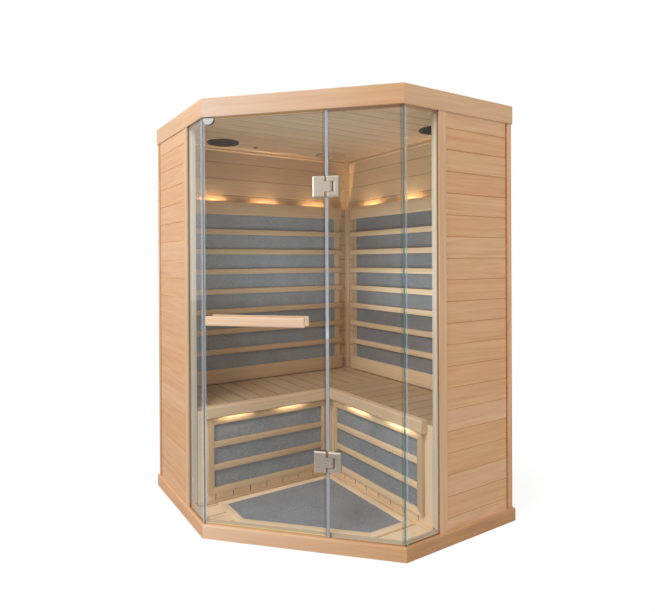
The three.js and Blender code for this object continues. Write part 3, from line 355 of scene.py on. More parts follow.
# Wall trims. A batten covers the end of each back wall beside the side wall, and a pale bead lines each
# post beside the glass. Both are pinned strips of planed wood.
BATTEN_THICKNESS = 0.0015
BEAD_THICKNESS = 0.002
BEAD_SETBACK = 0.0145
BEAD_WOOD = ((0.86, 0.76, 0.61), (0.74, 0.62, 0.46))
BEAD_GAP = 0.001


def turned(side, depth, along, height):
    """A point given for the right half of the cabin, or mirrored into the left half."""
    return Vector((depth, along, height)) if side == "right" else Vector((along, depth, height))


def add_block(bm, side, depth, along, height, ease, material=0):
    """A planed block between pairs of limits, with eased edges."""
    outline = [turned(side, depth[i], along[0], height[j]) for i, j in ((0, 0), (1, 0), (1, 1), (0, 1))]
    add_prism(bm, outline, turned(side, 0, along[1] - along[0], 0), ease, material)


upright_wood = wood("upright_trim", Z, INWARDS, RAW)
batten_wood = wood("rear_batten", Z, INWARDS, OILED)
bead_wood = wood("glazing_bead", Z, INWARDS, BEAD_WOOD)
row_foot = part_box("left_wall_panel")[0].z
stop_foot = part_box("right_fascia")[0].z
wall_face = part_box("back_left_wall_panel")[0].x
wall_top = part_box("back_left_wall_panel")[1].z
back_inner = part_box("back_left_wall_panel")[0].y
back_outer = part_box("back_left_wall_panel")[1].y
room = -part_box("left_wall_lining")[1].x
post_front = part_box("right_glazing_post")[0].x
for side in ("right", "left"):
    trim = bmesh.new()
    add_block(trim, side, (back_inner + 0.0005, back_outer - 0.0005),
              (wall_face - BATTEN_THICKNESS, wall_face), (row_foot + 0.0005, wall_top - 0.0005), 0.0006)
    fix(settle(trim, side + "_rear_batten", [batten_wood]))
    bead = bmesh.new()
    add_block(bead, side, (post_front - BEAD_THICKNESS, post_front), (wall_face + BEAD_SETBACK, -room),
              (row_foot + 0.013, stop_foot - BEAD_GAP), 0.0006)
    fix(settle(bead, side + "_glazing_bead", [bead_wood]))


# Roof. Three fascia boards, mitred at the front corners, hide the edge of the boarded ceiling. The
# roof behind them is a plain core with two rear rails and a thin dust cover.
# Painted sheen and shade: the front fascia is paler and cooler at its left end and darker at its right.
FASCIA_SHEEN_END = ((0.74, 0.56, 0.43), (0.635, 0.445, 0.315))
FASCIA_SHADE_END = ((0.635, 0.370, 0.185), (0.530, 0.280, 0.120))
CEILING_WOOD = ((0.80, 0.60, 0.405), (0.63, 0.44, 0.265))
SHEET_PITCH = 0.3
CEILING_JOINT = 0.012
dress(wood("front_fascia_board", FRONT, Z, FASCIA_SHEEN_END, far=FASCIA_SHADE_END), "front_fascia")
dress(wood("right_fascia_board", X, Z, TRIM), "right_fascia")
dress(wood("left_fascia_board", Y, Z, TRIM), "left_fascia")
ceiling_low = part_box("ceiling_boards")[0]
dress(wood("ceiling_rows", X, Y, CEILING_WOOD, BOARD_PITCH, CEILING_JOINT, 0.9), "ceiling_boards")
dress(wood("roof_sheet", X, Y, RAW, SHEET_PITCH, ceiling_low.y), "roof_panel", "roof_cover")


# Ceiling trims. A moulded cove strip with two sloped ribs covers the joint between the ceiling and each
# back wall, and a slim upright strip with a splayed front stands in the corner between the two walls.
COVE_PROFILE = ((0, 0), (0.017, 0), (0.017, 0.0015), (0.010, 0.0085), (0.004, 0.0085), (0.004, 0.015),
                (0.011, 0.015), (0.005, 0.0225), (0, 0.0225))
COVE_WOOD = ((0.80, 0.575, 0.350), (0.68, 0.455, 0.255))
CORNER_STRIP = 0.022
CORNER_EDGE = 0.006
cove_wood = {"right": wood("cove_strip_y", Y, Z, COVE_WOOD), "left": wood("cove_strip_x", X, Z, COVE_WOOD)}
ceiling = ceiling_low.z
bench_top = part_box("left_bench_top")[1].z
for side in ("right", "left"):
    cove = bmesh.new()
    section = [turned(side, room - out, -room, ceiling - drop) for out, drop in COVE_PROFILE]
    add_prism(cove, section, turned(side, 0, 2 * room - CORNER_STRIP, 0), 0.0004)
    fix(settle(cove, side + "_cove_strip", [cove_wood[side]]))
corner = bmesh.new()
splayed = [(0, 0), (-CORNER_STRIP, 0), (-CORNER_STRIP, -CORNER_EDGE), (-CORNER_EDGE, -CORNER_STRIP),
           (0, -CORNER_STRIP)]
corner_foot = [Vector((room + x, room + y, bench_top)) for x, y in splayed]
add_prism(corner, corner_foot, Z * (ceiling - bench_top), 0.0006)
fix(settle(corner, "corner_strip", [upright_wood]))


# Ceiling fittings. Two round loudspeakers have a dark bezel and a punched steel grille, and a small
# heat sensor hangs between them. All are pushed up into holes in the ceiling boards.
SPEAKER_DARK = (0.032, 0.029, 0.026)
# Painted shade: a near-black for the shade inside holes.
HOLE_SHADE = (0.006, 0.006, 0.006)
GRILLE_PITCH = 0.0062
GRILLE_HOLE = 0.0021
GRILLE_MARGIN = 0.018
SENSOR_PLACE = (-0.117, 0.513)


def moulded(name, colour, roughness, grain_size=900):
    made, tree, surface = start_material(name)
    place = tree.nodes.new("ShaderNodeTexCoord").outputs["Object"]
    grain = noise(tree, place, grain_size, 2)
    lighter = tuple(min(1.0, channel * 1.25 + 0.004) for channel in colour)
    tree.links.new(blend_colours(tree, grain, colour, lighter), surface["Base Color"])
    tree.links.new(calc(tree, "MULTIPLY_ADD", grain, 0.15, roughness), surface["Roughness"])
    add_bump(tree, grain, surface, 0.08, 0.0003)
    return made


def add_round(bm, profile, centre, axis, segments=32, material=0):
    """A turned shape from its profile of radius and height, about an axis."""
    axis = Vector(axis).normalized()
    start = axis.orthogonal().normalized()
    rings = []
    for radius, height in profile:
        ring = []
        for i in range(segments if radius > 0 else 1):
            arm = Matrix.Rotation(2 * math.pi * i / segments, 3, axis) @ start
            ring.append(bm.verts.new(Vector(centre) + axis * height + arm * radius))
        rings.append(ring)
    for lower, upper in zip(rings, rings[1:]):
        for i in range(segments):
            j = (i + 1) % segments
            corners = [lower[i % len(lower)], lower[j % len(lower)]]
            corners += [upper[j % len(upper)], upper[i % len(upper)]]
            face = bm.faces.new(list(dict.fromkeys(corners)))
            face.material_index = material


def start_tree(name, inputs):
    """An empty geometry tree with named inputs, and the identifier of each input."""
    tree = bpy.data.node_groups.new(name, "GeometryNodeTree")
    sockets = {}
    for socket, kind in inputs:
        made = tree.interface.new_socket(socket, in_out="INPUT", socket_type="NodeSocket" + kind)
        sockets[socket] = made.identifier
    tree.interface.new_socket("Result", in_out="OUTPUT", socket_type="NodeSocketGeometry")
    return tree, sockets, tree.nodes.new("NodeGroupInput").outputs


def end_tree(tree, copies, finish):
    """Makes the copies one mesh with one material, as the tree's result."""
    whole = tree.nodes.new("GeometryNodeRealizeInstances")
    painted = tree.nodes.new("GeometryNodeSetMaterial")
    tree.links.new(copies, whole.inputs["Geometry"])
    tree.links.new(whole.outputs["Geometry"], painted.inputs["Geometry"])
    tree.links.new(finish, painted.inputs["Material"])
    tree.links.new(painted.outputs["Geometry"], tree.nodes.new("NodeGroupOutput").inputs["Result"])


def make_grille_tree():
    """Copies a hole over a square grid and keeps those inside a radius."""
    tree, sockets, given = start_tree("grille_holes", [
        ("Hole", "Geometry"), ("Radius", "Float"), ("Pitch", "Float"), ("Place", "Vector"),
        ("Finish", "Material")])
    grid = tree.nodes.new("GeometryNodeMeshGrid")
    width = calc(tree, "MULTIPLY", given["Radius"], 2.0)
    count = calc(tree, "DIVIDE", width, given["Pitch"])
    for axis in "XY":
        tree.links.new(width, grid.inputs["Size " + axis])
        tree.links.new(count, grid.inputs["Vertices " + axis])
    away = tree.nodes.new("ShaderNodeVectorMath")
    away.operation = "LENGTH"
    tree.links.new(tree.nodes.new("GeometryNodeInputPosition").outputs[0], away.inputs[0])
    trimmed = tree.nodes.new("GeometryNodeDeleteGeometry")
    tree.links.new(grid.outputs["Mesh"], trimmed.inputs["Geometry"])
    outside = calc(tree, "GREATER_THAN", away.outputs["Value"], given["Radius"])
    tree.links.new(outside, trimmed.inputs["Selection"])
    moved = tree.nodes.new("GeometryNodeSetPosition")
    tree.links.new(trimmed.outputs[0], moved.inputs["Geometry"])
    tree.links.new(given["Place"], moved.inputs["Offset"])
    copies = tree.nodes.new("GeometryNodeInstanceOnPoints")
    tree.links.new(moved.outputs[0], copies.inputs["Points"])
    tree.links.new(given["Hole"], copies.inputs["Instance"])
    end_tree(tree, copies.outputs["Instances"], given["Finish"])
    return tree, sockets


def grow(piece, tree, sockets, **values):
    """Runs a tree on a piece and keeps its result as a plain mesh."""
    modifier = piece.modifiers.new("grow", "NODES")
    modifier.node_group = tree
    for name, value in values.items():
        modifier[sockets[name.capitalize()]] = value
    graph = bpy.context.evaluated_depsgraph_get()
    mesh = bpy.data.meshes.new_from_object(piece.evaluated_get(graph))
    piece.modifiers.remove(modifier)
    piece.data = mesh


grille_tree, grille_sockets = make_grille_tree()
speaker_shell = moulded("speaker_shell", SPEAKER_DARK, 0.45)
hole_shade = moulded("hole_shade", HOLE_SHADE, 0.8)
dress(speaker_shell, "left_speaker", "right_speaker")
for side in ("right", "left"):
    low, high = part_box(side + "_speaker")
    middle = Vector(((low.x + high.x) / 2, (low.y + high.y) / 2, low.z))
    rim = (high.x - low.x) / 2 - 0.001
    bezel = bmesh.new()
    add_round(bezel, [(rim, -0.001), (rim, 0.0015), (rim - 0.003, 0.0032), (rim - 0.008, 0.0032),
                      (rim - 0.011, 0.0012), (rim - 0.011, 0.0005), (rim / 2, 0.0022), (0, 0.0028)],
              middle, -Z, 48)
    fix(settle(bezel, side + "_speaker_bezel", [speaker_shell]))
    # Painted shade: near-black discs over the grille stand for the shade in its holes.
    hole = bmesh.new()
    add_round(hole, [(GRILLE_HOLE, 0), (GRILLE_HOLE, 0.0004), (0, 0.0005)], (0, 0, 0), -Z, 6)
    holes = settle(hole, side + "_speaker_holes", [])
    grow(holes, grille_tree, grille_sockets, radius=rim - GRILLE_MARGIN, pitch=GRILLE_PITCH,
         place=middle - Z * 0.0022, finish=hole_shade)
    fix(holes)
sensor = bmesh.new()
add_round(sensor, [(0, 0), (0.014, 0), (0.014, 0.002), (0.012, 0.0032), (0.006, 0.0036), (0.005, 0.0045),
                   (0, 0.0048)], (*SENSOR_PLACE, ceiling), -Z, 24)
fix(settle(sensor, "heat_sensor", [speaker_shell]))


# Vent. A turned wooden disc with eight holes and a knob covers eight ports in the ceiling. It turns on
# a central pin, and a near-black disc of painted shade lies in each port above it.
PORT_RADIUS = 0.0105
PORT_CIRCLE = 0.058
PORTS = 8
PORT_SHADE_RISE = 0.0045
dress(wood("vent_disc_wood", X, Y, RAW), "vent_disc")
vent_low, vent_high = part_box("vent_disc")
vent_middle = Vector(((vent_low.x + vent_high.x) / 2, (vent_low.y + vent_high.y) / 2, vent_low.z))
knob = bmesh.new()
add_round(knob, [(0, 0), (0.016, 0), (0.016, 0.008), (0.013, 0.012), (0, 0.0125)], vent_middle, -Z, 28)
fix(settle(knob, "vent_knob", [wood("vent_knob_wood", X, Y, RAW)]), "vent")
# Painted shade: near-black discs in the ports.
port_shade_discs = bmesh.new()
for i in range(PORTS):
    arm = Matrix.Rotation(2 * math.pi * i / PORTS, 3, Z) @ X * PORT_CIRCLE
    port = Vector((vent_middle.x, vent_middle.y, ceiling + PORT_SHADE_RISE)) + arm
    add_round(port_shade_discs, [(0, 0), (PORT_RADIUS, 0), (PORT_RADIUS, 0.0008), (0, 0.001)], port, Z, 20)
fix(settle(port_shade_discs, "vent_port_shade", [hole_shade]))


# Electrics. A painted steel box on the roof holds the supply, with a screwed lid and a cable gland on
# its rear face. Inside, a touch panel with a black glass front sits on the left wall.
BOX_GREY = (0.42, 0.43, 0.44)
SCREW_INSET = 0.014
PANEL_DARK = (0.020, 0.020, 0.021)
PANEL_MARGIN = 0.005
PANEL_GLASS = 0.0012
KEY_SIZE = 0.016
KEY_STEP = 0.032
KEYS = 3
box_paint = moulded("box_paint", BOX_GREY, 0.42, 500)
bright_steel = moulded("bright_steel", (0.55, 0.55, 0.56), 0.3, 700)
dress(box_paint, "power_box")
box_low, box_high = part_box("power_box")
lid_end = max(v.co.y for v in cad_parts["power_box"].data.vertices
              if v.co.z > box_high.z - 0.001)
fittings = bmesh.new()
for x in (box_low.x + SCREW_INSET, box_high.x - SCREW_INSET):
    for y in (box_low.y + SCREW_INSET, lid_end - SCREW_INSET):
        add_round(fittings, [(0.0045, 0), (0.0045, 0.0003), (0.0035, 0.0008), (0, 0.0008)],
                  (x, y, box_high.z), Z, 16)
gland = ((box_low.x + box_high.x) / 2, lid_end, (box_low.z + box_high.z) / 2)
add_round(fittings, [(0.0125, 0.0), (0.0125, 0.006), (0.0115, 0.007), (0.0092, 0.007)], gland, Y, 6)
fix(settle(fittings, "power_box_fittings", [bright_steel]))
dress(moulded("panel_shell", PANEL_DARK, 0.45), "control_panel")
panel_low, panel_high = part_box("control_panel")
face = bmesh.new()
add_block(face, "right", (panel_high.x, panel_high.x + PANEL_GLASS),
          (panel_low.y + PANEL_MARGIN, panel_high.y - PANEL_MARGIN),
          (panel_low.z + PANEL_MARGIN, panel_high.z - PANEL_MARGIN), 0.0004)
panel_glass = moulded("panel_glass", (0.008, 0.008, 0.010), 0.05, 60)
fix(settle(face, "control_glass", [panel_glass]))


def make_row_tree():
    """Copies one piece in a straight row."""
    tree, sockets, given = start_tree("straight_row", [
        ("Piece", "Geometry"), ("Count", "Int"), ("Step", "Vector"), ("Finish", "Material")])
    line = tree.nodes.new("GeometryNodeMeshLine")
    copies = tree.nodes.new("GeometryNodeInstanceOnPoints")
    tree.links.new(given["Count"], line.inputs["Count"])
    tree.links.new(given["Step"], line.inputs["Offset"])
    tree.links.new(line.outputs["Mesh"], copies.inputs["Points"])
    tree.links.new(given["Piece"], copies.inputs["Instance"])
    end_tree(tree, copies.outputs["Instances"], given["Finish"])
    return tree, sockets


row_tree, row_sockets = make_row_tree()
key = bmesh.new()
key_from = (panel_low.y + panel_high.y) / 2 - KEY_STEP * (KEYS - 1) / 2 - KEY_SIZE / 2
key_foot = panel_low.z + 0.025
add_block(key, "right", (panel_high.x + PANEL_GLASS, panel_high.x + PANEL_GLASS + 0.0006),
          (key_from, key_from + KEY_SIZE), (key_foot, key_foot + KEY_SIZE), 0.0002)
keys = settle(key, "control_keys", [])
key_face = moulded("key_face", (0.16, 0.16, 0.17), 0.4)
grow(keys, row_tree, row_sockets, count=KEYS, step=Y * KEY_STEP, finish=key_face)
fix(keys)


# Benches. Boards rest on a bearer and on a rounded front rail that is mitred in the corner. Upright
# boards close the front below, and a small skirting strip covers their foot.
SKIRTING_DEPTH = 0.018
SKIRTING_HEIGHT = 0.013
RAIL_WOOD = ((0.91, 0.680, 0.470), (0.75, 0.520, 0.320))
LEFT_BENCH_JOINT = -0.434
RIGHT_BENCH_JOINT = -0.412
DEEP_JOINT = 0.9
# Painted shade and light: the bench tops take a darker copy of the raw wood, and the bench fronts take the
# paler floor wood in place of the shade under the benches.
BENCH_WOOD = ((0.63, 0.450, 0.284), (0.49, 0.325, 0.182))
# Painted light and shade: the strip wood of the frames, slats, backrest boards and skirting is a darker
# copy on the left and a paler copy on the right.
LEFT_STRIP = ((0.70, 0.497, 0.304), (0.590, 0.392, 0.224))
RIGHT_STRIP = ((0.97, 0.735, 0.470), (0.83, 0.595, 0.358))
for node, along, across, colours, start in (
        ("left_bench_top", Y, X, BENCH_WOOD, LEFT_BENCH_JOINT),
        ("right_bench_top", X, Y, BENCH_WOOD, RIGHT_BENCH_JOINT),
        ("left_bench_face", Z, X, FLOOR_WOOD, FIRST_ROW),
        ("right_bench_face", Z, Y, FLOOR_WOOD, FIRST_ROW)):
    dress(wood(node + "_boards", along, across, colours, BOARD_PITCH, start, DEEP_JOINT), node)
dress(wood("left_rail", X, Z, RAIL_WOOD), "left_bench_rail")
dress(wood("right_rail", Y, Z, RAIL_WOOD), "right_bench_rail")
strip_wood = {"left": wood("strip_x", X, Z, LEFT_STRIP), "right": wood("strip_y", Y, Z, RIGHT_STRIP)}
bench_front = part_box("right_bench_face")[0].x
for side in ("right", "left"):
    skirting = bmesh.new()
    add_block(skirting, side, (bench_front - SKIRTING_DEPTH, bench_front),
              (0.001 - room, bench_front - 0.0005), (floor_top, floor_top + SKIRTING_HEIGHT), 0.0015)
    fix(settle(skirting, side + "_skirting", [strip_wood[side]]))


# Bench heaters. A mitred frame with two slats is screwed to each bench front and holds a grey heater
# plate in its rebate. The plate has the same speckled face as the one on the floor.
FRAME_MEMBER = 0.030
FRAME_LIP = 0.008
FRAME_SLATS = 2
FRAME_SLAT = 0.0285
FRAME_FIT = 0.0005
WALL_GREY = ((0.372, 0.386, 0.405), (0.222, 0.232, 0.247))
# Painted shade: the right back heater plate takes a darker, warmer copy of the wall plate grey.
SHADED_RIGHT_GREY = ((0.330, 0.326, 0.330), (0.197, 0.196, 0.201))
wall_plate = speckled_plate("wall_heater_plate", WALL_GREY)
dress(wall_plate, "left_bench_heater", "right_bench_heater")


def add_mitred_frame(bm, side, depth, along, height, member):
    """Four boards round a window, cut to meet on a line across each corner."""
    outer = [(along[i], height[j]) for i, j in ((0, 0), (1, 0), (1, 1), (0, 1))]
    inner = [(a + member * (1 - 2 * i), z + member * (1 - 2 * j))
             for (a, z), (i, j) in zip(outer, ((0, 0), (1, 0), (1, 1), (0, 1)))]
    for i in range(4):
        j = (i + 1) % 4
        outline = [turned(side, depth[0], a, z) for a, z in (outer[i], outer[j], inner[j], inner[i])]
        add_prism(bm, outline, turned(side, depth[1] - depth[0], 0, 0), 0.0009, i % 2)


for side in ("right", "left"):
    node = side + "_bench_heater_frame"
    low, high = (turned(side, *corner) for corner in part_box(node))
    rebate = turned(side, *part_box(side + "_bench_heater")[0]).x - FRAME_FIT
    along, height = (low.y, high.y), (low.z, high.z)
    boards = bmesh.new()
    add_mitred_frame(boards, side, (low.x, rebate), along, height, FRAME_MEMBER)
    add_mitred_frame(boards, side, (rebate, high.x), along, height, FRAME_MEMBER - FRAME_LIP)
    joined = settle(boards, node + "_boards", [strip_wood[side], upright_wood])
    fix(joined, stands_for=(node,))
    window = (low.z + FRAME_MEMBER, high.z - FRAME_MEMBER)
    band = (window[1] - window[0] - FRAME_SLATS * FRAME_SLAT) / (FRAME_SLATS + 1)
    slat = bmesh.new()
    add_block(slat, side, (low.x, rebate), (low.y + FRAME_MEMBER, high.y - FRAME_MEMBER),
              (window[0] + band, window[0] + band + FRAME_SLAT), 0.0012)
    slats = settle(slat, side + "_bench_heater_slats", [])
    grow(slats, row_tree, row_sockets, count=FRAME_SLATS, step=Z * (band + FRAME_SLAT),
         finish=strip_wood[side])
    fix(slats)


# Backrests. A wide board at the top and bottom and seven slats between them are screwed to two stiles
# on each back wall. A heater plate shows between the slats.
BACK_LOWER = 0.080
BACK_UPPER = 0.076
BACK_SLAT = 0.030
BACK_SLATS = 7
STILE_WIDTH = 0.040
STILE_INSET = 0.008
dress(wall_plate, "left_back_heater")
dress(speckled_plate("right_heater_plate", SHADED_RIGHT_GREY), "right_back_heater")
for side in ("right", "left"):
    node = side + "_backrest_frame"
    low, high = (turned(side, *corner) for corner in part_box(node))
    board_back = turned(side, *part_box(side + "_back_heater")[0]).x
    stile_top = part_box(side + "_back_light_bar")[1].z
    slats_from, slats_to = low.z + BACK_LOWER, high.z - BACK_UPPER
    boards = bmesh.new()
    for levels in ((low.z, slats_from), (slats_to, high.z)):
        add_block(boards, side, (low.x, board_back), (low.y, high.y), levels, 0.0015)
    for start in (low.y + STILE_INSET, high.y - STILE_INSET - STILE_WIDTH):
        add_block(boards, side, (board_back + 0.0002, high.x), (start, start + STILE_WIDTH),
                  (low.z, stile_top), 0.0008, 1)
    joined = settle(boards, node + "_boards", [strip_wood[side], upright_wood])
    fix(joined, stands_for=(node,))
    band = (slats_to - slats_from - BACK_SLATS * BACK_SLAT) / (BACK_SLATS + 1)
    slat = bmesh.new()
    add_block(slat, side, (low.x, board_back), (low.y, high.y),
              (slats_from + band, slats_from + band + BACK_SLAT), 0.0015)
    slats = settle(slat, side + "_backrest_slats", [])
    grow(slats, row_tree, row_sockets, count=BACK_SLATS, step=Z * (band + BACK_SLAT),
         finish=strip_wood[side])
    fix(slats)


# Lamps. Warm strips stand on a bar behind each backrest and wash the wall and ceiling above it, and two
# more lie under each bench rail and light the heater frame. Each has a frosted lens that glows.
WARM = (1.0, 0.76, 0.44)
UPLIGHTS = (-0.350, -0.015, 0.342)
UPLIGHT_LENGTH = 0.26
UPLIGHT_POWER = {"right": 0.23, "left": 0.29}
CEILING_WASH = {"right": (-0.2, 0.05, 55), "left": (0.0, 0.05, 14)}
UNDER_BENCH = (-0.415, -0.100)
UNDER_LENGTH = 0.26
LENS_LENGTH = 0.11
UNDER_WARM = (1.0, 0.84, 0.60)
CORNER_LAMP = (0.568, 0.580, 1.406)
CORNER_BEAM = 18
CORNER_REACH = (0.079, 0.0527)


def glowing(name, colour, strength):
    made, tree, surface = start_material(name)
    place = tree.nodes.new("ShaderNodeTexCoord").outputs["Object"]
    frost = noise(tree, place, 300, 2)
    pale = tuple(0.5 + 0.5 * channel for channel in colour)
    tree.links.new(blend_colours(tree, frost, colour, pale), surface["Emission Color"])
    surface["Base Color"].default_value = (*pale, 1)
    surface["Emission Strength"].default_value = strength
    surface["Roughness"].default_value = 0.4
    return made


def add_strip_lamp(name, place, towards, run, width, length, energy, spread=180, colour=WARM):
    """A slim lamp that shines one way, lies along a run and fades towards its two ends."""
    lamp = bpy.data.lights.new(name, "AREA")
    lamp.shape = "RECTANGLE"
    lamp.size, lamp.size_y = width, length
    lamp.energy = energy
    lamp.color = colour
    lamp.spread = math.radians(spread)
    lamp.use_nodes = True
    tree = lamp.node_tree
    parted = tree.nodes.new("ShaderNodeSeparateXYZ")
    tree.links.new(tree.nodes.new("ShaderNodeNewGeometry").outputs["Parametric"], parted.inputs[0])
    fade = tree.nodes.new("ShaderNodeMapRange")
    fade.interpolation_type = "SMOOTHSTEP"
    fade.inputs["From Max"].default_value = 0.5
    fade.inputs["To Max"].default_value = 2.0
    tree.links.new(calc(tree, "PINGPONG", parted.outputs[1], 0.5), fade.inputs["Value"])
    tree.links.new(fade.outputs[0], tree.nodes["Emission"].inputs["Strength"])
    made = bpy.data.objects.new(name, lamp)
    back = -towards.normalized()
    turn = Matrix((run.cross(back), run, back)).transposed()
    made.matrix_world = Matrix.Translation(place) @ turn.to_4x4()
    made.visible_camera = False
    bpy.context.scene.collection.objects.link(made)


lens_glow = glowing("lamp_lens", WARM, 2.0)
# Painted glow: the light bars themselves glow faintly warm, as if lit by their own strips.
dress(glowing("light_bar_painted_glow", WARM, 0.3), "left_back_light_bar", "right_back_light_bar")
for side in ("right", "left"):
    run = turned(side, 0, 1, 0)
    low, high = (turned(side, *corner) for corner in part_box(side + "_back_light_bar"))
    rail_low, rail_high = (turned(side, *corner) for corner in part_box(side + "_bench_rail"))
    lenses = bmesh.new()
    for number, middle in enumerate(UPLIGHTS):
        add_block(lenses, side, (low.x + 0.001, high.x - 0.001),
                  (middle - LENS_LENGTH / 2, middle + LENS_LENGTH / 2), (high.z, high.z + 0.003), 0.0008)
        place = turned(side, low.x + 0.001, middle, high.z + 0.004)
        add_strip_lamp(f"{side}_uplight_{number}", place, turned(side, -0.6, 0, 1), run,
                       0.004, UPLIGHT_LENGTH, UPLIGHT_POWER[side])
    fix(settle(lenses, side + "_uplight_lenses", [lens_glow]))
    lean, energy, spread = CEILING_WASH[side]
    add_strip_lamp(side + "_ceiling_wash", turned(side, high.x, (low.y + high.y) / 2, high.z + 0.004),
                   turned(side, lean, 0, 1), run, 0.002, high.y - low.y, energy, spread)
    lenses = bmesh.new()
    for number, middle in enumerate(UNDER_BENCH):
        ends = (middle - LENS_LENGTH / 2, middle + LENS_LENGTH / 2)
        add_block(lenses, side, (rail_low.x + 0.017, rail_low.x + 0.023), ends,
                  (rail_low.z - 0.0012, rail_low.z), 0.0003)
        place = turned(side, rail_low.x + 0.0015, middle, rail_low.z - 0.002)
        add_strip_lamp(f"{side}_under_bench_{number}", place, turned(side, 1, 0, -1), run,
                       0.004, UNDER_LENGTH, 0.042, colour=UNDER_WARM)
    fix(settle(lenses, side + "_under_bench_lenses", [lens_glow]))
corner_lamp = bpy.data.lights.new("corner_uplight", "SPOT")
corner_lamp.energy = 130
corner_lamp.color = (1.0, 0.68, 0.24)
corner_lamp.spot_size = math.radians(CORNER_BEAM)
corner_lamp.spot_blend = 0.12
corner_lamp.shadow_soft_size = 0.002
corner_lamp.use_nodes = True
tree = corner_lamp.node_tree
beam = tree.nodes.new("ShaderNodeSeparateXYZ")
tree.links.new(tree.nodes.new("ShaderNodeTexCoord").outputs["Normal"], beam.inputs[0])
to_right = calc(tree, "DIVIDE", beam.outputs[0], beam.outputs[2])
to_left = calc(tree, "DIVIDE", beam.outputs[1], beam.outputs[2])
to_right = calc(tree, "LESS_THAN", to_right, -CORNER_REACH[0])
to_left = calc(tree, "GREATER_THAN", to_left, CORNER_REACH[1])
even = tree.nodes.new("ShaderNodeLightFalloff")
tree.links.new(calc(tree, "MAXIMUM", to_right, to_left), even.inputs["Strength"])
tree.links.new(even.outputs["Constant"], tree.nodes["Emission"].inputs["Strength"])
corner_light = bpy.data.objects.new("corner_uplight", corner_lamp)
corner_light.matrix_world = Matrix.Translation(CORNER_LAMP) @ Matrix.Rotation(math.pi, 4, "X")
bpy.context.scene.collection.objects.link(corner_light)


# Glass. Four panes of clear toughened glass: two side panes, one fixed front pane and the door. Beside
# upright edges the panes show narrow bands: teal where the ground edge is seen through the glass, pale
# ones of painted highlight and dim ones of painted shade.
SIDE_BAND = 0.006
BEVEL_BAND = 0.008
CORNER_BAND = 0.013
STRIKE_BAND = 0.016
CLEAR_FACE = 1.0
FACES = 2.0


def mix_shaders(tree, amount, first, second):
    mixed = tree.nodes.new("ShaderNodeMixShader")
    for socket, value in zip(mixed.inputs, (amount, first, second)):
        tree.links.new(value, socket)
    return mixed.outputs[0]


def clear_glass(name, colour, clearness=1.0):
    made, tree, surface = start_material(name)
    place = tree.nodes.new("ShaderNodeTexCoord").outputs["Object"]
    haze = noise(tree, place, 3, 2)
    tree.links.new(calc(tree, "MULTIPLY", haze, 0.006), surface["Roughness"])
    surface["Base Color"].default_value = (*colour, 1)
    surface["Transmission Weight"].default_value = clearness
    surface["IOR"].default_value = 1.33
    light = tree.nodes.new("ShaderNodeLightPath")
    through = tree.nodes.new("ShaderNodeBsdfTransparent")
    through.inputs["Color"].default_value = (0.93, 0.935, 0.93, 1)
    shader = tree.nodes["Principled BSDF"].outputs[0]
    if clearness == 1:
        clear = tree.nodes.new("ShaderNodeBsdfTransparent")
        clear.inputs["Color"].default_value = (*(CLEAR_FACE * math.sqrt(part) for part in colour), 1)
        mirror = tree.nodes.new("ShaderNodeBsdfAnisotropic")
        mirror.inputs["Roughness"].default_value = 0.003
        fresnel = tree.nodes.new("ShaderNodeFresnel")
        fresnel.inputs["IOR"].default_value = 1.33
        behind = tree.nodes.new("ShaderNodeNewGeometry").outputs["Backfacing"]
        shine = calc(tree, "MULTIPLY", fresnel.outputs[0], calc(tree, "SUBTRACT", 1.0, behind))
        shine = limit(tree, calc(tree, "MULTIPLY", shine, FACES))
        pane = mix_shaders(tree, shine, clear.outputs[0], mirror.outputs[0])
        shader = mix_shaders(tree, light.outputs["Is Camera Ray"], shader, pane)
    either = calc(tree, "MAXIMUM", light.outputs["Is Shadow Ray"], light.outputs["Is Diffuse Ray"])
    mixed = mix_shaders(tree, either, shader, through.outputs[0])
    tree.links.new(mixed, tree.nodes["Material Output"].inputs["Surface"])
    return made


def cloudy(name, dark, pale, roughness, glow=0.0):
    made, tree, surface = start_material(name)
    place = tree.nodes.new("ShaderNodeTexCoord").outputs["Object"]
    cloud = blend_colours(tree, noise(tree, place, 20, 2), dark, pale)
    tree.links.new(cloud, surface["Base Color"])
    tree.links.new(cloud, surface["Emission Color"])
    surface["Emission Strength"].default_value = glow
    surface["Roughness"].default_value = roughness
    return made


pane_glass = clear_glass("pane_glass", (0.95, 0.96, 0.95))
ground_edge = cloudy("ground_edge", (0.20, 0.34, 0.35), (0.30, 0.44, 0.45), 0.15)
# Painted glow: the bottom edge of the front panes, resting on the plinth, glows faintly though no lamp
# lights it.
resting_edge_glow = cloudy("resting_edge_glow", (0.50, 0.38, 0.14), (0.62, 0.49, 0.21), 0.15, 0.55)
teal_band = clear_glass("teal_band", (0.26, 0.90, 0.92))
# Painted highlight: a pale, partly clouded band beside polished edges.
highlight_band = clear_glass("highlight_band", (0.78, 0.82, 0.86), 0.72)
# Painted shade: a dim band beside the fixed pane's right-hand edge and the door's hinge edge.
shade_band = clear_glass("shade_band", (0.62, 0.58, 0.55))


def solid_copy(node):
    """A node's own shape with its loose triangles joined into whole faces."""
    bm = bmesh.new()
    bm.from_mesh(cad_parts[node].data)
    bmesh.ops.remove_doubles(bm, verts=bm.verts[:], dist=1e-6)
    bmesh.ops.dissolve_limit(bm, angle_limit=0.01, verts=bm.verts[:], edges=bm.edges[:])
    for face in bm.faces:
        face.material_index = 0
    return bm


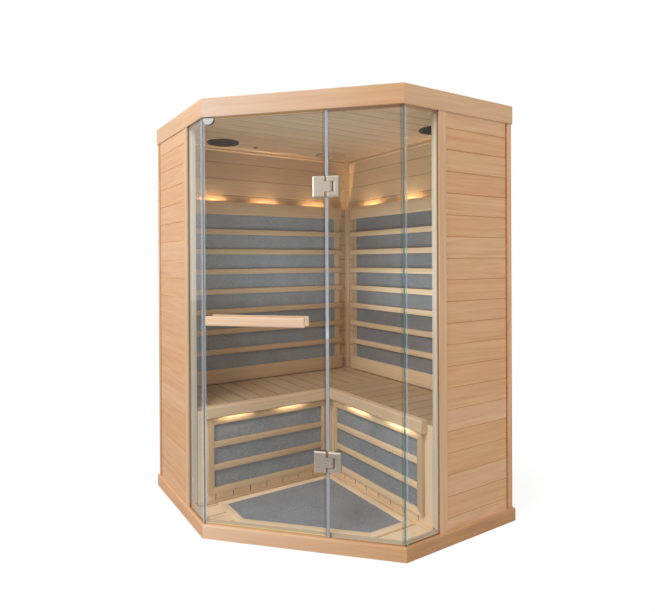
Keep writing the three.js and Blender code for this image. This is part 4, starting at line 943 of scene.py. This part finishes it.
def banded_pane(node, facing, run, bands, body="cabin"):
    """A pane with ground edges, and bands that reach from one place to another along its run."""
    pane = solid_copy(node)
    for start, end, material in bands:
        for level in (start, end):
            bmesh.ops.bisect_plane(pane, geom=pane.verts[:] + pane.edges[:] + pane.faces[:],
                                   plane_co=run * level, plane_no=run)
    for face in pane.faces:
        level = face.calc_center_median().dot(run)
        outwards = -face.normal.dot(facing)
        face.material_index = 0 if abs(outwards) > 0.99 else 1
        # Painted glow on the bottom edge of the front panes.
        if abs(face.normal.z) > 0.99 and facing == INWARDS:
            face.material_index = 5
        for start, end, material in bands:
            if outwards > 0.99 and start < level < end:
                face.material_index = material
    finishes = [pane_glass, ground_edge, teal_band, highlight_band, shade_band, resting_edge_glow]
    fix(settle(pane, node + "_pane", finishes), body, (node,))


def reach(node, direction):
    """The least and greatest place of a node along a direction."""
    places = [v.co.dot(direction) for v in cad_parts[node].data.vertices]
    return min(places), max(places)


start = reach("right_side_glass", X)[0]
banded_pane("right_side_glass", Y, X, [(start - 1, start + SIDE_BAND, 2),
                                       (start + SIDE_BAND, start + SIDE_BAND + BEVEL_BAND, 3)])
start = reach("left_side_glass", Y)[0]
banded_pane("left_side_glass", X, Y, [(start - 1, start + STRIKE_BAND, 3)])
end = reach("front_fixed_glass", FRONT)[1]
banded_pane("front_fixed_glass", INWARDS, FRONT, [(end - CORNER_BAND, end + 1, 4)])
start, end = reach("door_glass", FRONT)
banded_pane("door_glass", INWARDS, FRONT, [(start - 1, start + BEVEL_BAND, 3),
                                           (end - BEVEL_BAND, end + 1, 4)], "door")


# Seals. Clear soft strips close the gaps beside the door: three lengths between the hinges, and one at
# the left corner that the door shuts against. They are extruded plastic, a little cloudy.
dress(cloudy("hinge_seal", (0.33, 0.335, 0.345), (0.41, 0.412, 0.420), 0.3),
      "hinge_seal_bottom", "hinge_seal_middle", "hinge_seal_top")
dress(cloudy("strike_seal", (0.17, 0.22, 0.24), (0.25, 0.30, 0.32), 0.3), "strike_seal")


# Hinges. Two cast glass hinges in satin nickel clamp the door with one leaf and the fixed pane with the
# other, and turn on a steel pin. Their edges are chamfered, and socket screws hold them from inside.
HINGE_BEVEL = 0.006
HINGE_SLOPE = 0.0045
SCREW_SPREAD = 0.054
NICKEL = (0.86, 0.75, 0.62)


def satin_metal(name, colour, roughness):
    made, tree, surface = start_material(name)
    place = tree.nodes.new("ShaderNodeTexCoord").outputs["Object"]
    stretch = tree.nodes.new("ShaderNodeMapping")
    stretch.inputs["Scale"].default_value = (1, 1, 30)
    tree.links.new(place, stretch.inputs["Vector"])
    brushed = noise(tree, stretch.outputs[0], 60, 3)
    darker = tuple(channel * 0.86 for channel in colour)
    tree.links.new(blend_colours(tree, brushed, darker, colour), surface["Base Color"])
    tree.links.new(calc(tree, "MULTIPLY_ADD", brushed, 0.14, roughness), surface["Roughness"])
    surface["Metallic"].default_value = 1
    return made


def slope_rim(bm, way, sloped):
    """Sinks the rim of the flat face furthest along a direction, and slopes the sides that are chosen."""
    top = max(v.co.dot(way) for v in bm.verts)
    flats = [face for face in bm.faces if face.calc_center_median().dot(way) > top - 1e-4]
    flat = bmesh.ops.dissolve_faces(bm, faces=flats)["region"][0] if len(flats) > 1 else flats[0]
    rim = [loop.vert for loop in flat.loops]
    raised = []
    for i, v in enumerate(rim):
        shift = Vector()
        for first, second in ((rim[i - 1], v), (v, rim[(i + 1) % len(rim)])):
            inside = way.cross(second.co - first.co).normalized()
            if sloped(-inside, first.co) and shift.dot(inside) < HINGE_BEVEL / 2:
                shift += inside * HINGE_BEVEL
        raised.append(bm.verts.new(v.co + shift))
    bm.faces.remove(flat)
    bm.faces.new(raised)
    for i, v in enumerate(rim):
        j = (i + 1) % len(rim)
        bm.faces.new((v, rim[j], raised[j], raised[i]))
    for v in rim:
        v.co -= way * HINGE_SLOPE


satin_nickel = satin_metal("satin_nickel", NICKEL, 0.22)
for level in ("upper", "lower"):
    for leaf, body in (("door_leaf", "door"), ("pane_leaf", "cabin")):
        node = f"{level}_hinge_{leaf}"
        leaf_from, leaf_to = reach(node, FRONT)
        inner_face = reach(node, INWARDS)[1]
        levels = reach(node, Z)
        plate = solid_copy(node)
        slope_rim(plate, -INWARDS, lambda side, place: side.dot(FRONT) < -0.9 or (
            place.dot(FRONT) > leaf_to - HINGE_BEVEL and side.dot(FRONT) > 0.9) or (
            abs(side.z) > 0.9 and min(abs(place.z - level) for level in levels) < 1e-4))
        fix(settle(plate, node + "_plate", [satin_nickel]), body, (node,))
        along = leaf_from + 0.028 if leaf == "door_leaf" else leaf_to - 0.015
        screw = bmesh.new()
        head = [(0.005, -0.001), (0.005, 0.0012), (0.0042, 0.002), (0.0022, 0.002), (0.0022, 0.0008),
                (0, 0.0008)]
        screw_place = FRONT * along + INWARDS * inner_face + Z * (sum(levels) / 2 - SCREW_SPREAD / 2)
        add_round(screw, head, screw_place, INWARDS, 20)
        screws = settle(screw, node + "_screws", [])
        grow(screws, row_tree, row_sockets, count=2, step=Z * SCREW_SPREAD, finish=satin_nickel)
        fix(screws, body)


# Handle. A pale wooden bar on each side of the door, with rounded edges and ends, is held by two round
# standoffs and by studs that pass through the glass.
HANDLE_WOOD = ((0.83, 0.600, 0.415), (0.72, 0.465, 0.290))
HANDLE_END_ROUND = 0.002


def ease_edges(bm, width, chosen):
    """Rounds the sharp edges that are chosen."""
    sharp = [edge for edge in bm.edges
             if len(edge.link_faces) == 2 and edge.calc_face_angle() > 0.7 and chosen(edge)]
    bmesh.ops.bevel(bm, geom=sharp, offset=width, segments=2, profile=0.5, affect="EDGES", material=-1)


handle_wood = wood("handle_bar", FRONT, Z, HANDLE_WOOD)
for node in ("outer_handle_bar", "inner_handle_bar"):
    ends = reach(node, FRONT)
    bar = solid_copy(node)
    ease_edges(bar, HANDLE_END_ROUND, lambda edge: all(
        min(abs(v.co.dot(FRONT) - end) for end in ends) < 1e-4 for v in edge.verts))
    fix(settle(bar, node + "_turned", [handle_wood]), "door", (node,))


# Catch. A half-round plate is clipped over the top corner of the door and meets a magnet that is let
# into the door stop. Both are moulded plastic. The clip is pale outside, and its half towards the room
# is painted dark as shade seen through the glass; the magnet is dark.
catch_pale = moulded("catch_pale", (0.45, 0.445, 0.435), 0.28)
catch_dark_and_shade = moulded("catch_dark_and_shade", (0.045, 0.042, 0.035), 0.45)
dress(catch_dark_and_shade, "magnet_catch")
glass_middle = sum(reach("door_glass", INWARDS)) / 2
clip = solid_copy("door_strike_plate")
# Painted shade: the clip's half towards the room is dark.
for part in clip.faces:
    part.material_index = int(part.calc_center_median().dot(INWARDS) > glass_middle)
fix(settle(clip, "door_strike_clip", [catch_pale, catch_dark_and_shade]), "door",
    ("door_strike_plate",))


# Studio. A white sweep and a soft light from the left, as for a catalogue picture. The floor stays white
# in the picture, and the cabin's own shadow falls on it faintly.
SKY_LIGHT = 0.64
BRIGHT_SIDE = (-0.80, 0.35, 0.49)
SHEEN = (0.35, 1.40)
CARD_SIDE = Vector((-0.77, 0.62, 0.10)).normalized()
CARD_EDGE = 0.92
CARD_FADE = 0.05
CARD_GLOW = 1.2
FLOOR_REACH = 14.0
FLOOR_GLOW = 0.82
FLOOR_PAINT = 0.22
FLOOR_BOUNCE = 0.55
FLOOR_DIM = 0.62
SHADOW_FROM = 0.9
SHADOW_TO = 1.5


def seen_rays(tree):
    """A ray from the eye, also through glass, then a ray by way of a mirror only, then either."""
    light = tree.nodes.new("ShaderNodeLightPath")
    direct = calc(tree, "MAXIMUM", light.outputs["Is Camera Ray"], light.outputs["Is Transmission Ray"])
    either = calc(tree, "MAXIMUM", direct, light.outputs["Is Glossy Ray"])
    return direct, calc(tree, "SUBTRACT", either, direct), either


world = bpy.data.worlds.new("studio")
bpy.context.scene.world = world
world.use_nodes = True
tree = world.node_tree
sky = tree.nodes["Background"].inputs
sky["Color"].default_value = (1, 1, 1, 1)
direct, mirrored, seen = seen_rays(tree)
outlook = tree.nodes.new("ShaderNodeTexCoord").outputs["Generated"]
nearness = []
for side in (BRIGHT_SIDE, CARD_SIDE):
    aside = tree.nodes.new("ShaderNodeVectorMath")
    aside.operation = "DOT_PRODUCT"
    aside.inputs[1].default_value = side
    tree.links.new(outlook, aside.inputs[0])
    nearness.append(aside.outputs["Value"])
sheen = calc(tree, "MULTIPLY_ADD", nearness[0], 1.44, -0.07)
sheen = calc(tree, "MINIMUM", calc(tree, "MAXIMUM", sheen, SHEEN[0]), SHEEN[1])
card = limit(tree, calc(tree, "MULTIPLY_ADD", nearness[1], 1 / CARD_FADE, -CARD_EDGE / CARD_FADE))
sheen = calc(tree, "MULTIPLY_ADD", card, CARD_GLOW, sheen)
strength = calc(tree, "MULTIPLY_ADD", direct, 1 - SKY_LIGHT, SKY_LIGHT)
sheen = calc(tree, "SUBTRACT", sheen, SKY_LIGHT)
tree.links.new(calc(tree, "MULTIPLY_ADD", mirrored, sheen, strength), sky["Strength"])
bpy.context.scene.view_settings.view_transform = "Standard"

floor_paint, tree, surface = start_material("studio_floor")
away = tree.nodes.new("ShaderNodeVectorMath")
away.operation = "LENGTH"
tree.links.new(tree.nodes.new("ShaderNodeTexCoord").outputs["Object"], away.inputs[0])
fade = tree.nodes.new("ShaderNodeMapRange")
fade.interpolation_type = "SMOOTHSTEP"
fade.inputs["From Min"].default_value = SHADOW_FROM
fade.inputs["From Max"].default_value = SHADOW_TO
tree.links.new(away.outputs["Value"], fade.inputs["Value"])
direct, mirrored, seen = seen_rays(tree)
paint = calc(tree, "MULTIPLY_ADD", fade.outputs[0], -FLOOR_PAINT, FLOOR_PAINT)
glow = calc(tree, "MULTIPLY_ADD", fade.outputs[0], 1 - FLOOR_GLOW, FLOOR_GLOW)
glow = calc(tree, "MULTIPLY", glow, calc(tree, "MULTIPLY_ADD", mirrored, -FLOOR_DIM, 1.0))
for value, other, socket in ((paint, FLOOR_BOUNCE, "Base Color"), (glow, 0.0, "Emission Strength")):
    chosen = calc(tree, "MULTIPLY_ADD", seen, calc(tree, "SUBTRACT", value, other), other)
    tree.links.new(chosen, surface[socket])
surface["Emission Color"].default_value = (1, 1, 1, 1)
surface["Roughness"].default_value = 1.0
surface["Specular IOR Level"].default_value = 0.0
sweep = bmesh.new()
bmesh.ops.create_grid(sweep, x_segments=1, y_segments=1, size=FLOOR_REACH)
bmesh.ops.translate(sweep, vec=(0, 0, -0.0005), verts=sweep.verts)
settle(sweep, "studio_floor", [floor_paint])


def add_softbox(name, place, aim, size, energy, colour):
    lamp = bpy.data.lights.new(name, "AREA")
    lamp.shape = "RECTANGLE"
    lamp.size, lamp.size_y = size
    lamp.energy = energy
    lamp.color = colour
    made = bpy.data.objects.new(name, lamp)
    made.location = place
    made.rotation_euler = (Vector(aim) - Vector(place)).to_track_quat("-Z", "Y").to_euler()
    made.visible_camera = False
    made.visible_glossy = False
    made.visible_transmission = False
    bpy.context.scene.collection.objects.link(made)


add_softbox("key_softbox", (-3.9, -1.75, 4.6), (0, 0, 0.9), (2.4, 2.9), 200, (0.97, 0.99, 1.06))
add_softbox("side_fill", (2.6, -3.0, 1.6), (0.4, -0.6, 1.0), (1.2, 1.8), 13, (1.0, 0.99, 0.97))
add_softbox("room_fill", (0.08, -0.08, 0.9), (0.08, -0.079, 1.9), (0.8, 0.8), 3.3, (0.82, 1.0, 1.12))


# Viewpoint. A person stands in front and to the left. The lens is level, and the picture's centre is
# shifted to where the photograph has it.
EYE = Vector((-1.5100, -2.2998, 1.2279))
HEADING = math.radians(31.711)
PITCH = math.radians(-0.222)
ROLL = math.radians(-0.304)
PICTURE = (655, 612)
FOCAL_PIXELS = 539.28
CENTRE = (306.79, 263.00)
camera = bpy.data.cameras.new("viewpoint")
camera.sensor_width = 36
camera.lens = camera.sensor_width * FOCAL_PIXELS / PICTURE[0]
camera.shift_x = (PICTURE[0] / 2 - CENTRE[0]) / PICTURE[0]
camera.shift_y = (CENTRE[1] - PICTURE[1] / 2) / PICTURE[0]
ahead = Matrix.Rotation(-HEADING, 3, "Z") @ Matrix.Rotation(PITCH, 3, "X") @ Y
level_right = ahead.cross(Z).normalized()
right = level_right * math.cos(ROLL) + level_right.cross(ahead) * math.sin(ROLL)
turn = Matrix((right, right.cross(ahead), -ahead)).transposed()
eye = bpy.data.objects.new("viewpoint", camera)
eye.matrix_world = Matrix.Translation(EYE) @ turn.to_4x4()
bpy.context.scene.collection.objects.link(eye)
bpy.context.scene.camera = eye
